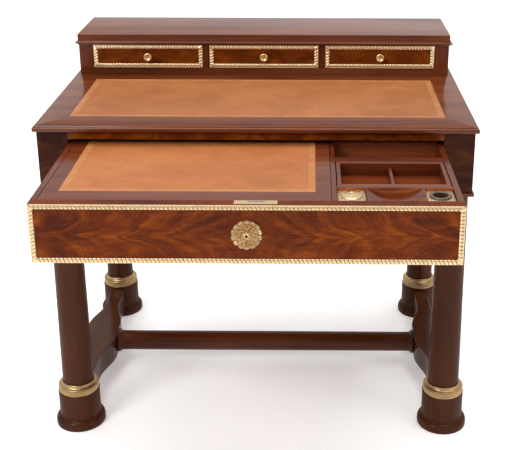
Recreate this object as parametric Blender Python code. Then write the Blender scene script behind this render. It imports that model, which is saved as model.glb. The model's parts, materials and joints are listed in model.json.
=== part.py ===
"""Mahogany writing desk with a raised bank of three small drawers and gilt-bronze mounts.

Metres, +Z up. X runs across the desk and -Y is its front. The model rests on z = 0 with the
main drawer pulled out, and the origin is the bottom centre of the whole desk in that pose.
Inside the script a desk-wide empty puts y = 0 at the front plane of the case.
"""

import math

import bmesh
import bpy

# ---------------------------------------------------------------- driving dimensions
GAP = 0.0003                    # between pieces that touch
REACH = 0.010                   # how far a cutting shape runs past the wood it cuts

# case and table top
CASE_WIDTH = 0.980
CASE_DEPTH = 0.690
CASE_HEIGHT = 0.143             # sides, between bottom board and top
STILE_WIDTH = 0.0695            # flat front stile beside the drawer
STILE_THICKNESS = 0.020
SIDE_THICKNESS = 0.018
BACK_THICKNESS = 0.012
BASE_THICKNESS = 0.0075         # bottom board, which shows as a thin ledge
BASE_LEDGE = 0.0040
NOTCH_CLEARANCE = 0.0020        # bottom board behind the drawer's front
RAIL_HEIGHT = 0.018             # rail under the top, above the drawer
TOP_THICKNESS = 0.014
TOP_OVERHANG_SIDE = 0.0078
TOP_OVERHANG_FRONT = 0.0090
TOP_EDGE_ROUND = 0.0070         # how far the upper edge steps back from the widest line
TOP_UNDER_ROUND = 0.0035

# leather on the table top
TOP_LEATHER_SIDE = 0.0585       # from the side of the case
TOP_LEATHER_FRONT = 0.068       # from the front plane of the case
TOP_LEATHER_REAR = 0.048        # from the bank of small drawers
LEATHER_THICKNESS = 0.0012
LEATHER_SINK = 0.0002           # leather below the wood round it

# columns
LEG_HEIGHT = 0.641
LEG_INSET_SIDE = 0.033          # column axis from the side of the case
LEG_INSET_FRONT = 0.064
LEG_INSET_REAR = 0.035
SHAFT_TOP_RADIUS = 0.0346
SHAFT_FOOT_RADIUS = 0.0382
COLLAR_RADIUS = 0.0492
COLLAR_HEIGHT = 0.031
COLLAR_CLEARANCE = 0.0005
COLLAR_NECK = 0.0018            # wall at the collar's upper edge
DRUM_RADIUS = 0.0512
DRUM_HEIGHT = 0.094             # with the foot ring
FOOT_RADIUS = 0.0608
FOOT_HEIGHT = 0.022
FOOT_EASE = 0.0010              # step for the rounding of the foot ring

# stretchers
STRETCHER_Z = 0.0575            # centre height of boards and pole
BOARD_THICKNESS = 0.062
BOARD_NARROW = 0.0195           # half widths in plan
BOARD_WIDE = 0.0445
BOARD_FLAT = 0.035              # half length of the wide middle
BOARD_SWELL = 0.150             # half length of the swelling
POLE_RADIUS = 0.0265
POLE_COLLAR_RADIUS = 0.0325
POLE_COLLAR_LENGTH = 0.008
POLE_FLARE_LENGTH = 0.014
POLE_EASE = 0.0010
HOLLOW_CLEARANCE = 0.0006       # board ends from the drums they are hollowed round
HOLLOW_STEPS = 6
EDGE_STEPS = 16

# main drawer
DRAWER_OUT = 0.3547             # how far it is pulled out at rest
DRAWER_REAR_SPACE = 0.078       # behind the drawer when it is shut
DRAWER_CLEARANCE = 0.0015       # each side, in the opening
DRAWER_TOP_GAP = 0.010          # under the rail
RUN_CLEARANCE = 0.0006          # over the bottom board
FRONT_CLEARANCE = 0.0002        # drawer front's lower edge above the columns' level
BOTTOM_RECESS = 0.0004          # drawer bottom above the sides' lower edges
GUIDE_CLEARANCE = 0.0010
KICKER_CLEARANCE = 0.0027
KICKER_LAP = 0.019              # kicker over the drawer side
GUIDE_THICKNESS = 0.030
FRONT_THICKNESS = 0.024
DRAWER_SIDE = 0.012
DRAWER_BACK = 0.012
DRAWER_BOTTOM = 0.006
DIVIDER_X = 0.1693              # centre of the divider between panel and compartments
DIVIDER_THICKNESS = 0.010

# sliding writing panel
PANEL_THICKNESS = 0.018
PANEL_LENGTH = 0.429
PANEL_CLEARANCE = 0.0012        # each side, so that it slides
PANEL_MARGIN = 0.0300           # wood beside the leather
PANEL_MARGIN_FRONT = 0.0450
PANEL_MARGIN_REAR = 0.0420
LEDGE_WIDTH = 0.010
LEDGE_HEIGHT = 0.010

# compartments right of the divider, y from the drawer's front face
INK_ZONE_END = 0.0925           # back wall of the inkwell zone
INK_RAIL = 0.008                # rim between inkwell zone and tray
INK_BLOCK_DEPTH = 0.064
INK_RECESS = 0.0060             # inkwell plates below the rim
PLATE_SIZE = 0.055
PLATE_THICKNESS = 0.0020
PLATE_EDGE = 0.0014             # plate from the compartment's side
PLATE_REAR = 0.0004             # plate from the zone's back wall
CUP_RADIUS = 0.0205
CUP_WALL = 0.0012
CUP_DEPTH = 0.042
CUP_CLEARANCE = 0.0005
GROOVE_SAG = 0.0134             # depth of the scooped pen groove
GROOVE_LAND = 0.0022            # rim beside the groove
GROOVE_STEPS = 16
TRAY_CLEARANCE = 0.0020         # each side
TRAY_END_CLEARANCE = 0.0010
TRAY_DROP = 0.0005              # tray's rim below the drawer's
TRAY_LEDGE = 0.0080             # ledges that it rests on
TRAY_LEDGE_HEIGHT = 0.0100
TRAY_LENGTH = 0.1465
TRAY_HEIGHT = 0.0325
TRAY_SIDE_WALL = 0.008
TRAY_END_WALL = 0.013
TRAY_FLOOR = 0.0055
TRAY_PARTITION = 0.006
TRAY_PARTITION_DROP = 0.009     # partition below the tray's rim
CROSS_RAIL_THICKNESS = 0.021
CROSS_RAIL_WEB = 0.010          # its thickness below the tray
REAR_WELL_LENGTH = 0.1080
WELL_BACK_THICKNESS = 0.012
WELL_BACK_DROP = 0.0010

# inkwell lid and liner
LID_RADIUS = 0.0215
LID_HEIGHT = 0.0085
LID_SPIGOT = 0.0060
LINER_FLANGE_RADIUS = 0.0222
LINER_FLANGE_HEIGHT = 0.0026
LINER_HOLE_RADIUS = 0.0152
LINER_DEPTH = 0.038
LINER_FLOOR = 0.0030
LINER_ROUND = 0.0012

# lock
LOCK_CENTRE_X = 0.0172
LOCK_WIDTH = 0.0836
LOCK_DEPTH = 0.0134             # front to back of the lock case
LOCK_HEIGHT = 0.0610
LOCK_INSET = 0.0003             # lock's rear face inside the drawer front's
LOCK_UNDERCUT = 0.0030          # mortise below the lock case
SELVEDGE_DEPTH = 0.0180
SELVEDGE_THICKNESS = 0.0025
BOLT_WIDTH = 0.0320
BOLT_DEPTH = 0.0065
BOLT_HEIGHT = 0.0260
BOLT_OFFSET_X = 0.0017
BOLT_CLEARANCE = 0.0005
BOLT_DROP = 0.0004              # bolt's end below the plate when it is drawn in
BOLT_SLOT_SPARE = 0.0020
SELVEDGE_SHOULDER = 0.0020      # plate from the lock case's rear face
KEYHOLE_RADIUS = 0.0026
KEYWAY_CLEARANCE = 0.0008       # wider hole through the wood
KEYWAY_SIDES = 12

# gilt mounts
MOULDING_WIDTH = 0.0105
MOULDING_RISE = 0.0035
ROSETTE_RADIUS = 0.0315
ROSETTE_DEPTH = 0.0120
ROSETTE_LEAVES = 12
ROSETTE_LOBE = 0.045            # how far its outline draws in between the leaves

# bank of small drawers
BANK_DEPTH = 0.209
BANK_INSET_SIDE = 0.0075        # from the side of the case
BANK_INSET_REAR = 0.044
BANK_BASE_HEIGHT = 0.018
BANK_STILE = 0.0370
BANK_DIVIDER = 0.0170
BANK_BACK = 0.010
BANK_OPENING_HEIGHT = 0.0612
CORNICE_HEIGHT = 0.0095
CORNICE_PROJECTION = 0.0065
BANK_SLAB_HEIGHT = 0.0181
BANK_SLAB_OVERHANG = 0.0020     # past the bank's front and sides
BANK_SLAB_ROUND = 0.0014
BANK_SLAB_REAR = 0.0020         # slab past the bank's back
SMALL_DRAWERS = ("left", "middle", "right")
SMALL_CLEARANCE = 0.0008
SMALL_DEPTH = 0.188
SMALL_FRONT = 0.015
SMALL_WALL = 0.007
SMALL_FLOOR = 0.005
SMALL_BOX_CLEARANCE = 0.0010    # box sides inside the front's ends
SMALL_OVERLAP = 0.0040
SMALL_BOX_DROP = 0.0075         # box sides below the front's upper edge
KNOB_RADIUS = 0.0105
KNOB_LENGTH = 0.0155

ROUND = 24                      # sides of the larger turned pieces
SMALL_ROUND = 16

# ---------------------------------------------------------------- derived levels and places
Z_BASE = LEG_HEIGHT + GAP
Z_DECK = Z_BASE + BASE_THICKNESS
Z_CASE = Z_DECK + GAP
Z_CASE_TOP = Z_CASE + CASE_HEIGHT
Z_TOP = Z_CASE_TOP + GAP
Z_TABLE = Z_TOP + TOP_THICKNESS
Z_RAIL = Z_CASE_TOP - RAIL_HEIGHT
Z_RIM = Z_RAIL - DRAWER_TOP_GAP                 # upper edge of the main drawer
Z_DRAWER = Z_DECK + RUN_CLEARANCE               # lower edge of the drawer's sides
Z_FRONT = Z_BASE + FRONT_CLEARANCE              # lower edge of the drawer's front

HALF_CASE = CASE_WIDTH / 2
HALF_OPENING = HALF_CASE - STILE_WIDTH
HALF_DRAWER = HALF_OPENING - DRAWER_CLEARANCE
INSIDE_DRAWER = HALF_DRAWER - DRAWER_SIDE
DRAWER_DEPTH = CASE_DEPTH - BACK_THICKNESS - DRAWER_REAR_SPACE
Y_INSIDE_FRONT = FRONT_THICKNESS + GAP          # in the drawer's own frame
Y_INSIDE_BACK = DRAWER_DEPTH - DRAWER_BACK - GAP
Z_DRAWER_FLOOR = Z_DRAWER + BOTTOM_RECESS + DRAWER_BOTTOM
Z_PANEL = Z_RIM - PANEL_THICKNESS
Z_LEDGE = Z_PANEL - GAP

LEG_X = HALF_CASE - LEG_INSET_SIDE
LEG_FRONT_Y = LEG_INSET_FRONT
LEG_REAR_Y = CASE_DEPTH - LEG_INSET_REAR

COMP_LEFT = DIVIDER_X + DIVIDER_THICKNESS / 2 + GAP
COMP_RIGHT = INSIDE_DRAWER - GAP
COMP_CENTRE = (COMP_LEFT + COMP_RIGHT) / 2
INK_BLOCK_END = INK_ZONE_END + INK_RAIL
TRAY_Y = INK_BLOCK_END + TRAY_END_CLEARANCE
CROSS_RAIL_Y = TRAY_Y + TRAY_LENGTH + TRAY_END_CLEARANCE
WELL_BACK_Y = CROSS_RAIL_Y + CROSS_RAIL_THICKNESS + REAR_WELL_LENGTH
Z_PLATE = Z_RIM - INK_RECESS                    # upper face of the inkwell plates
Z_TRAY = Z_RIM - TRAY_DROP - TRAY_HEIGHT
PLATE_Y = INK_ZONE_END - PLATE_REAR - PLATE_SIZE / 2
LEFT_WELL_X = COMP_LEFT + PLATE_EDGE + PLATE_SIZE / 2
RIGHT_WELL_X = COMP_RIGHT - PLATE_EDGE - PLATE_SIZE / 2

Z_BANK = Z_TABLE + GAP
Z_BANK_DECK = Z_BANK + BANK_BASE_HEIGHT
Z_BANK_CASE = Z_BANK_DECK + GAP
Z_BANK_TOP = Z_BANK_CASE + BANK_OPENING_HEIGHT  # upper edge of the bank's sides and dividers
HALF_BANK = HALF_CASE - BANK_INSET_SIDE
BANK_REAR_Y = CASE_DEPTH - BANK_INSET_REAR
BANK_FRONT_Y = BANK_REAR_Y - BANK_DEPTH
SMALL_OPENING = (2 * HALF_BANK - 2 * BANK_STILE - 2 * BANK_DIVIDER) / 3
SMALL_WIDTH = SMALL_OPENING - 2 * SMALL_CLEARANCE
SMALL_HEIGHT = BANK_OPENING_HEIGHT - 2 * SMALL_CLEARANCE
SMALL_PITCH = SMALL_OPENING + BANK_DIVIDER

DESK_FRONT = -(DRAWER_OUT + ROSETTE_DEPTH)      # foremost and rearmost points at rest
DESK_REAR = LEG_REAR_Y + FOOT_RADIUS
DESK_Y = -(DESK_FRONT + DESK_REAR) / 2

# ---------------------------------------------------------------- materials
FINISHES = {
    "mahogany": ((0.105, 0.030, 0.014), 0.18, 0.0),
    "flame_mahogany": ((0.190, 0.052, 0.018), 0.16, 0.0),
    "drawer_wood": ((0.150, 0.040, 0.022), 0.45, 0.0),
    "gilt_bronze": ((0.830, 0.610, 0.280), 0.30, 1.0),
    "brass": ((0.780, 0.580, 0.270), 0.35, 1.0),
    "steel": ((0.420, 0.400, 0.370), 0.38, 1.0),
    "leather": ((0.560, 0.220, 0.080), 0.48, 0.0),
    "ink_glass": ((0.020, 0.018, 0.016), 0.12, 0.0),
}


def finish(obj, kind):
    """Give an object a material of its own in one of the finishes above."""
    colour, roughness, metallic = FINISHES[kind]
    material = bpy.data.materials.new(obj.name + "_" + kind)
    material.use_nodes = True
    shader = material.node_tree.nodes["Principled BSDF"]
    shader.inputs["Base Color"].default_value = (*colour, 1.0)
    shader.inputs["Roughness"].default_value = roughness
    shader.inputs["Metallic"].default_value = metallic
    obj.data.materials.clear()
    obj.data.materials.append(material)


# ---------------------------------------------------------------- building helpers
def clear_scene():
    for obj in list(bpy.data.objects):
        bpy.data.objects.remove(obj)


def empty(name, location, parent=None):
    obj = bpy.data.objects.new(name, None)
    obj.empty_display_size = 0.03
    obj.location = location
    obj.parent = parent
    bpy.context.scene.collection.objects.link(obj)
    return obj


def mesh_object(name, bm, parent, kind, smooth=False):
    """Turn a bmesh into a linked object under its parent."""
    bmesh.ops.recalc_face_normals(bm, faces=bm.faces)
    mesh = bpy.data.meshes.new(name)
    bm.to_mesh(mesh)
    bm.free()
    if smooth:
        mesh.shade_smooth()
        mesh.set_sharp_from_angle(angle=math.radians(35))
    obj = bpy.data.objects.new(name, mesh)
    obj.parent = parent
    bpy.context.scene.collection.objects.link(obj)
    if kind:
        finish(obj, kind)
    return obj


def box_mesh(low, high):
    bm = bmesh.new()
    bmesh.ops.create_cube(bm, size=1.0)
    for vert in bm.verts:
        for axis in range(3):
            middle = (low[axis] + high[axis]) / 2
            vert.co[axis] = middle + vert.co[axis] * (high[axis] - low[axis])
    return bm


def board(name, low, high, parent, kind):
    """A plain rectangular piece between two corners."""
    centre = [(a + b) / 2 for a, b in zip(low, high)]
    half = [(b - a) / 2 for a, b in zip(low, high)]
    bm = box_mesh([-h for h in half], half)
    obj = mesh_object(name, bm, parent, kind)
    obj.location = centre
    return obj


def prism(name, outline, start, length, axis, parent, kind):
    """Extrude a closed outline along an axis: X outlines are (y, z), Y (x, z) and Z (x, y)."""
    spots = {"X": lambda a, b: (start, a, b), "Y": lambda a, b: (a, start, b),
             "Z": lambda a, b: (a, b, start)}
    travel = {"X": (length, 0, 0), "Y": (0, length, 0), "Z": (0, 0, length)}
    bm = bmesh.new()
    face = bm.faces.new([bm.verts.new(spots[axis](a, b)) for a, b in outline])
    grown = bmesh.ops.extrude_face_region(bm, geom=[face])
    moved = [item for item in grown["geom"] if isinstance(item, bmesh.types.BMVert)]
    bmesh.ops.translate(bm, verts=moved, vec=travel[axis])
    return mesh_object(name, bm, parent, kind)


def turned(name, profile, segments, parent, kind, closed=False):
    """Spin a profile of (radius, height) points about Z."""
    bm = bmesh.new()
    verts = [bm.verts.new((radius, 0.0, height)) for radius, height in profile]
    pairs = list(zip(verts, verts[1:]))
    if closed:
        pairs.append((verts[-1], verts[0]))
    edges = [bm.edges.new(pair) for pair in pairs]
    bmesh.ops.spin(bm, geom=verts + edges, cent=(0, 0, 0), axis=(0, 0, 1), angle=math.tau,
                   steps=segments, use_duplicate=False)
    bmesh.ops.remove_doubles(bm, verts=bm.verts, dist=0.00001)
    return mesh_object(name, bm, parent, kind, smooth=True)


def stacked(name, rings, parent, kind):
    """Loft rectangles, each (half width, front y, back y, z), from the lowest to the highest."""
    bm = bmesh.new()
    loops = []
    for half, front, back, height in rings:
        corners = ((-half, front), (half, front), (half, back), (-half, back))
        loops.append([bm.verts.new((x, y, height)) for x, y in corners])
    for lower, upper in zip(loops, loops[1:]):
        for i in range(4):
            j = (i + 1) % 4
            bm.faces.new((lower[i], lower[j], upper[j], upper[i]))
    bm.faces.new(loops[0])
    bm.faces.new(loops[-1])
    return mesh_object(name, bm, parent, kind)


def mitred_frame(name, width, height, parent, kind):
    """A moulding of four mitred lengths in the XZ plane, standing proud towards -Y."""
    section = ((0.0, 0.0), (0.0, 0.6), (0.25, 1.0), (0.75, 1.0), (1.0, 0.6), (1.0, 0.0))
    bm = bmesh.new()
    corners = []
    for sx, sz in ((-1, -1), (1, -1), (1, 1), (-1, 1)):
        ring = []
        for inward, rise in section:
            inset = inward * MOULDING_WIDTH
            spot = (sx * (width / 2 - inset), -rise * MOULDING_RISE, sz * (height / 2 - inset))
            ring.append(bm.verts.new(spot))
        corners.append(ring)
    count = len(section)
    for i in range(4):
        here, there = corners[i], corners[(i + 1) % 4]
        for k in range(count):
            n = (k + 1) % count
            bm.faces.new((here[k], there[k], there[n], here[n]))
    return mesh_object(name, bm, parent, kind)


def combine(obj, tools, operation):
    """Cut or join hidden tool shapes with an object."""
    for tool in tools:
        tool.hide_render = True
        tool.display_type = "WIRE"
        modifier = obj.modifiers.new(operation.lower(), "BOOLEAN")
        modifier.operation = operation
        modifier.object = tool
        modifier.solver = "EXACT"


def tool_box(name, low, high, parent):
    return board(name, low, high, parent, None)


def tool_round(name, radius, low, high, centre, parent, segments=ROUND):
    tool = turned(name, ((0, high), (radius, high), (radius, low), (0, low)), segments, parent, None)
    tool.location = (centre[0], centre[1], 0)
    return tool


# ---------------------------------------------------------------- columns and stretchers
def columns(desk):
    shaft = ((0, LEG_HEIGHT), (SHAFT_TOP_RADIUS, LEG_HEIGHT),
             (SHAFT_FOOT_RADIUS, DRUM_HEIGHT + GAP), (0, DRUM_HEIGHT + GAP))
    low = DRUM_HEIGHT + GAP
    bore = SHAFT_FOOT_RADIUS + COLLAR_CLEARANCE
    collar = ((bore, low + COLLAR_HEIGHT), (bore + COLLAR_NECK, low + COLLAR_HEIGHT),
              (bore + 1.2 * COLLAR_NECK, low + 0.80 * COLLAR_HEIGHT),
              (COLLAR_RADIUS - 2 * COLLAR_NECK, low + 0.48 * COLLAR_HEIGHT),
              (COLLAR_RADIUS, low + 0.40 * COLLAR_HEIGHT), (COLLAR_RADIUS, low), (bore, low))
    base = ((0, DRUM_HEIGHT), (DRUM_RADIUS, DRUM_HEIGHT), (DRUM_RADIUS, FOOT_HEIGHT + 3 * FOOT_EASE),
            (DRUM_RADIUS + 3.5 * FOOT_EASE, FOOT_HEIGHT),
            (FOOT_RADIUS - 2.5 * FOOT_EASE, FOOT_HEIGHT - 3 * FOOT_EASE),
            (FOOT_RADIUS, FOOT_HEIGHT / 2), (FOOT_RADIUS - FOOT_EASE, 4 * FOOT_EASE),
            (FOOT_RADIUS - 4 * FOOT_EASE, 0), (0, 0))
    places = {"front_left": (-LEG_X, LEG_FRONT_Y), "front_right": (LEG_X, LEG_FRONT_Y),
              "rear_left": (-LEG_X, LEG_REAR_Y), "rear_right": (LEG_X, LEG_REAR_Y)}
    for corner, (x, y) in places.items():
        pieces = (turned("leg_shaft_" + corner, shaft, ROUND, desk, "mahogany"),
                  turned("leg_collar_" + corner, collar, ROUND, desk, "gilt_bronze", closed=True),
                  turned("leg_base_" + corner, base, ROUND, desk, "mahogany"))
        for piece in pieces:
            piece.location = (x, y, 0)


def board_half_width(s):
    """Half width of a side stretcher at distance s from its middle."""
    along = (abs(s) - BOARD_FLAT) / (BOARD_SWELL - BOARD_FLAT)
    along = min(max(along, 0.0), 1.0)
    return BOARD_NARROW + (BOARD_WIDE - BOARD_NARROW) * (1 + math.cos(math.pi * along)) / 2


def side_stretcher(name, x, desk):
    """A thick board between two drums, with ends hollowed round them and a swelling middle."""
    middle = (LEG_FRONT_Y + LEG_REAR_Y) / 2
    reach = LEG_REAR_Y - middle
    hollow = DRUM_RADIUS + HOLLOW_CLEARANCE
    sweep = math.asin(BOARD_NARROW / hollow)
    right = []
    for i in range(HOLLOW_STEPS + 1):           # round the rear drum, from left to right
        turn = sweep * (2 * i / HOLLOW_STEPS - 1)
        right.append((hollow * math.sin(turn), reach - hollow * math.cos(turn)))
    for i in range(EDGE_STEPS + 1):             # down the right-hand edge
        s = BOARD_SWELL * (1 - 2 * i / EDGE_STEPS)
        right.append((board_half_width(s), s))
    outline = right + [(-a, -b) for a, b in right]
    piece = prism(name, outline, -BOARD_THICKNESS / 2, BOARD_THICKNESS, "Z", desk, "mahogany")
    piece.location = (x, middle, STRETCHER_Z)


def cross_stretcher(desk):
    """The turned pole between the side stretchers."""
    half = LEG_X - BOARD_WIDE - GAP
    collar = half - POLE_COLLAR_LENGTH
    flare = collar - POLE_FLARE_LENGTH
    end = ((0, half), (POLE_COLLAR_RADIUS, half), (POLE_COLLAR_RADIUS, collar),
           (POLE_COLLAR_RADIUS - 3.5 * POLE_EASE, collar - POLE_EASE),
           (POLE_RADIUS + POLE_EASE, (collar + flare) / 2), (POLE_RADIUS, flare))
    profile = end + tuple((radius, -height) for radius, height in reversed(end))
    pole = turned("cross_stretcher", profile, ROUND, desk, "mahogany")
    pole.rotation_euler = (0, math.pi / 2, 0)
    pole.location = (0, (LEG_FRONT_Y + LEG_REAR_Y) / 2, STRETCHER_Z)


# ---------------------------------------------------------------- case
def case(desk):
    wide = HALF_CASE + BASE_LEDGE
    notch = FRONT_THICKNESS + NOTCH_CLEARANCE
    outline = ((-wide, -BASE_LEDGE), (-HALF_OPENING, -BASE_LEDGE), (-HALF_OPENING, notch),
               (HALF_OPENING, notch), (HALF_OPENING, -BASE_LEDGE), (wide, -BASE_LEDGE),
               (wide, CASE_DEPTH + BASE_LEDGE), (-wide, CASE_DEPTH + BASE_LEDGE))
    prism("case_bottom", outline, Z_BASE, BASE_THICKNESS, "Z", desk, "mahogany")

    for name, side in (("case_side_left", -1), ("case_side_right", 1)):
        inner = HALF_CASE - SIDE_THICKNESS
        plan = ((HALF_OPENING, 0), (HALF_CASE, 0), (HALF_CASE, CASE_DEPTH), (inner, CASE_DEPTH),
                (inner, STILE_THICKNESS), (HALF_OPENING, STILE_THICKNESS))
        plan = [(side * x, y) for x, y in plan]
        prism(name, plan, Z_CASE, CASE_HEIGHT, "Z", desk, "flame_mahogany")

    inside = HALF_CASE - SIDE_THICKNESS - GAP
    board("case_back", (-inside, CASE_DEPTH - BACK_THICKNESS, Z_CASE), (inside, CASE_DEPTH, Z_CASE_TOP),
          desk, "drawer_wood")
    board("front_rail", (-HALF_OPENING + GAP, 0, Z_RAIL), (HALF_OPENING - GAP, STILE_THICKNESS, Z_CASE_TOP),
          desk, "flame_mahogany")

    guide = HALF_DRAWER + GUIDE_CLEARANCE
    lap = HALF_DRAWER - KICKER_LAP
    kicker = Z_RIM + KICKER_CLEARANCE
    for name, side in (("drawer_guide_left", -1), ("drawer_guide_right", 1)):
        section = ((lap, kicker), (guide, kicker), (guide, Z_CASE), (guide + GUIDE_THICKNESS, Z_CASE),
                   (guide + GUIDE_THICKNESS, Z_CASE_TOP), (lap, Z_CASE_TOP))
        section = [(side * x, z) for x, z in section]
        start = STILE_THICKNESS + GAP
        prism(name, section, start, CASE_DEPTH - BACK_THICKNESS - GAP - start, "Y", desk, "drawer_wood")


def table_top(desk):
    side = HALF_CASE + TOP_OVERHANG_SIDE
    front = -TOP_OVERHANG_FRONT
    back = CASE_DEPTH + TOP_OVERHANG_SIDE
    rings = []
    for height, inset in ((0.0, TOP_UNDER_ROUND), (0.18, 0.0), (0.55, 0.0), (0.80, 0.30 * TOP_EDGE_ROUND),
                          (0.88, 0.85 * TOP_EDGE_ROUND), (1.0, TOP_EDGE_ROUND)):
        rings.append((side - inset, front + inset, back - inset, Z_TOP + height * TOP_THICKNESS))
    top = stacked("desk_top", rings, desk, "mahogany")

    half = HALF_CASE - TOP_LEATHER_SIDE
    rear = BANK_FRONT_Y - TOP_LEATHER_REAR
    face = Z_TABLE - LEATHER_SINK
    under = face - LEATHER_THICKNESS
    combine(top, [tool_box("top_leather_cutter", (-half - GAP, TOP_LEATHER_FRONT - GAP, under - GAP),
                           (half + GAP, rear + GAP, Z_TABLE + REACH), desk)], "DIFFERENCE")
    board("top_leather", (-half, TOP_LEATHER_FRONT, under), (half, rear, face), desk, "leather")


# ---------------------------------------------------------------- bank of small drawers
def bank(desk):
    board("bank_base", (-HALF_BANK, BANK_FRONT_Y, Z_BANK), (HALF_BANK, BANK_REAR_Y, Z_BANK_DECK),
          desk, "mahogany")
    for name, side in (("bank_side_left", -1), ("bank_side_right", 1)):
        edges = sorted((side * (HALF_BANK - BANK_STILE), side * HALF_BANK))
        board(name, (edges[0], BANK_FRONT_Y, Z_BANK_CASE), (edges[1], BANK_REAR_Y, Z_BANK_TOP), desk,
              "mahogany")
    for name, side in (("bank_divider_left", -1), ("bank_divider_right", 1)):
        x = side * SMALL_PITCH / 2
        board(name, (x - BANK_DIVIDER / 2, BANK_FRONT_Y, Z_BANK_CASE),
              (x + BANK_DIVIDER / 2, BANK_REAR_Y - BANK_BACK - GAP, Z_BANK_TOP), desk, "mahogany")
    inside = HALF_BANK - BANK_STILE - GAP
    board("bank_back", (-inside, BANK_REAR_Y - BANK_BACK, Z_BANK_CASE), (inside, BANK_REAR_Y, Z_BANK_TOP),
          desk, "drawer_wood")

    slab = HALF_BANK + BANK_SLAB_OVERHANG
    front = BANK_FRONT_Y - BANK_SLAB_OVERHANG
    rear = BANK_REAR_Y + BANK_SLAB_REAR
    rings = []
    for height, share in ((0.0, 0.15), (0.28, 0.60), (0.45, 1.0), (0.62, 1.0), (0.90, 0.30), (1.0, 0.0)):
        z = Z_BANK_TOP + GAP + height * CORNICE_HEIGHT
        out = share * CORNICE_PROJECTION
        rings.append((slab + out, front - out, rear, z))
    for height, inset in ((0.90, 0.0), (1.0, BANK_SLAB_ROUND)):
        z = Z_BANK_TOP + GAP + CORNICE_HEIGHT + height * BANK_SLAB_HEIGHT
        rings.append((slab - inset, front + inset, rear - inset, z))
    stacked("bank_top", rings, desk, "mahogany")


def knob(name, parent):
    """A turned knob with a dished face."""
    r, d = KNOB_RADIUS, KNOB_LENGTH
    profile = ((0, 0.83 * d), (0.52 * r, 0.87 * d), (0.76 * r, d), (0.93 * r, 0.97 * d), (r, 0.81 * d),
               (0.86 * r, 0.61 * d), (0.38 * r, 0.45 * d), (0.38 * r, 0.19 * d),
               (0.67 * r, 0.12 * d), (0.67 * r, GAP), (0, GAP))
    obj = turned(name, profile, SMALL_ROUND, parent, "brass")
    obj.rotation_euler = (math.pi / 2, 0, 0)


def small_drawer(place, x, desk):
    """One small drawer: an open box with its front, moulding and knob, about its front's centre."""
    centre_z = Z_BANK_CASE + BANK_OPENING_HEIGHT / 2
    body = empty("small_drawer_axis_" + place, (x, BANK_FRONT_Y, centre_z), desk)
    half, tall = SMALL_WIDTH / 2, SMALL_HEIGHT / 2
    box_half = half - SMALL_BOX_CLEARANCE
    box_top = tall - SMALL_BOX_DROP
    front = board("small_drawer_" + place, (-half, 0, -tall), (half, SMALL_FRONT, tall), body,
                  "flame_mahogany")
    shell = tool_box("small_shell_" + place, (-box_half, SMALL_FRONT - SMALL_OVERLAP, -tall + GAP),
                     (box_half, SMALL_DEPTH, box_top), body)
    hollow = tool_box("small_hollow_" + place, (-box_half + SMALL_WALL, SMALL_FRONT, -tall + SMALL_FLOOR),
                      (box_half - SMALL_WALL, SMALL_DEPTH - SMALL_WALL, tall + REACH), body)
    combine(front, [shell], "UNION")
    combine(front, [hollow], "DIFFERENCE")
    frame = mitred_frame("small_moulding_" + place, SMALL_WIDTH, SMALL_HEIGHT, body, "gilt_bronze")
    frame.location = (0, -GAP, 0)
    knob("small_knob_" + place, body)


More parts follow.
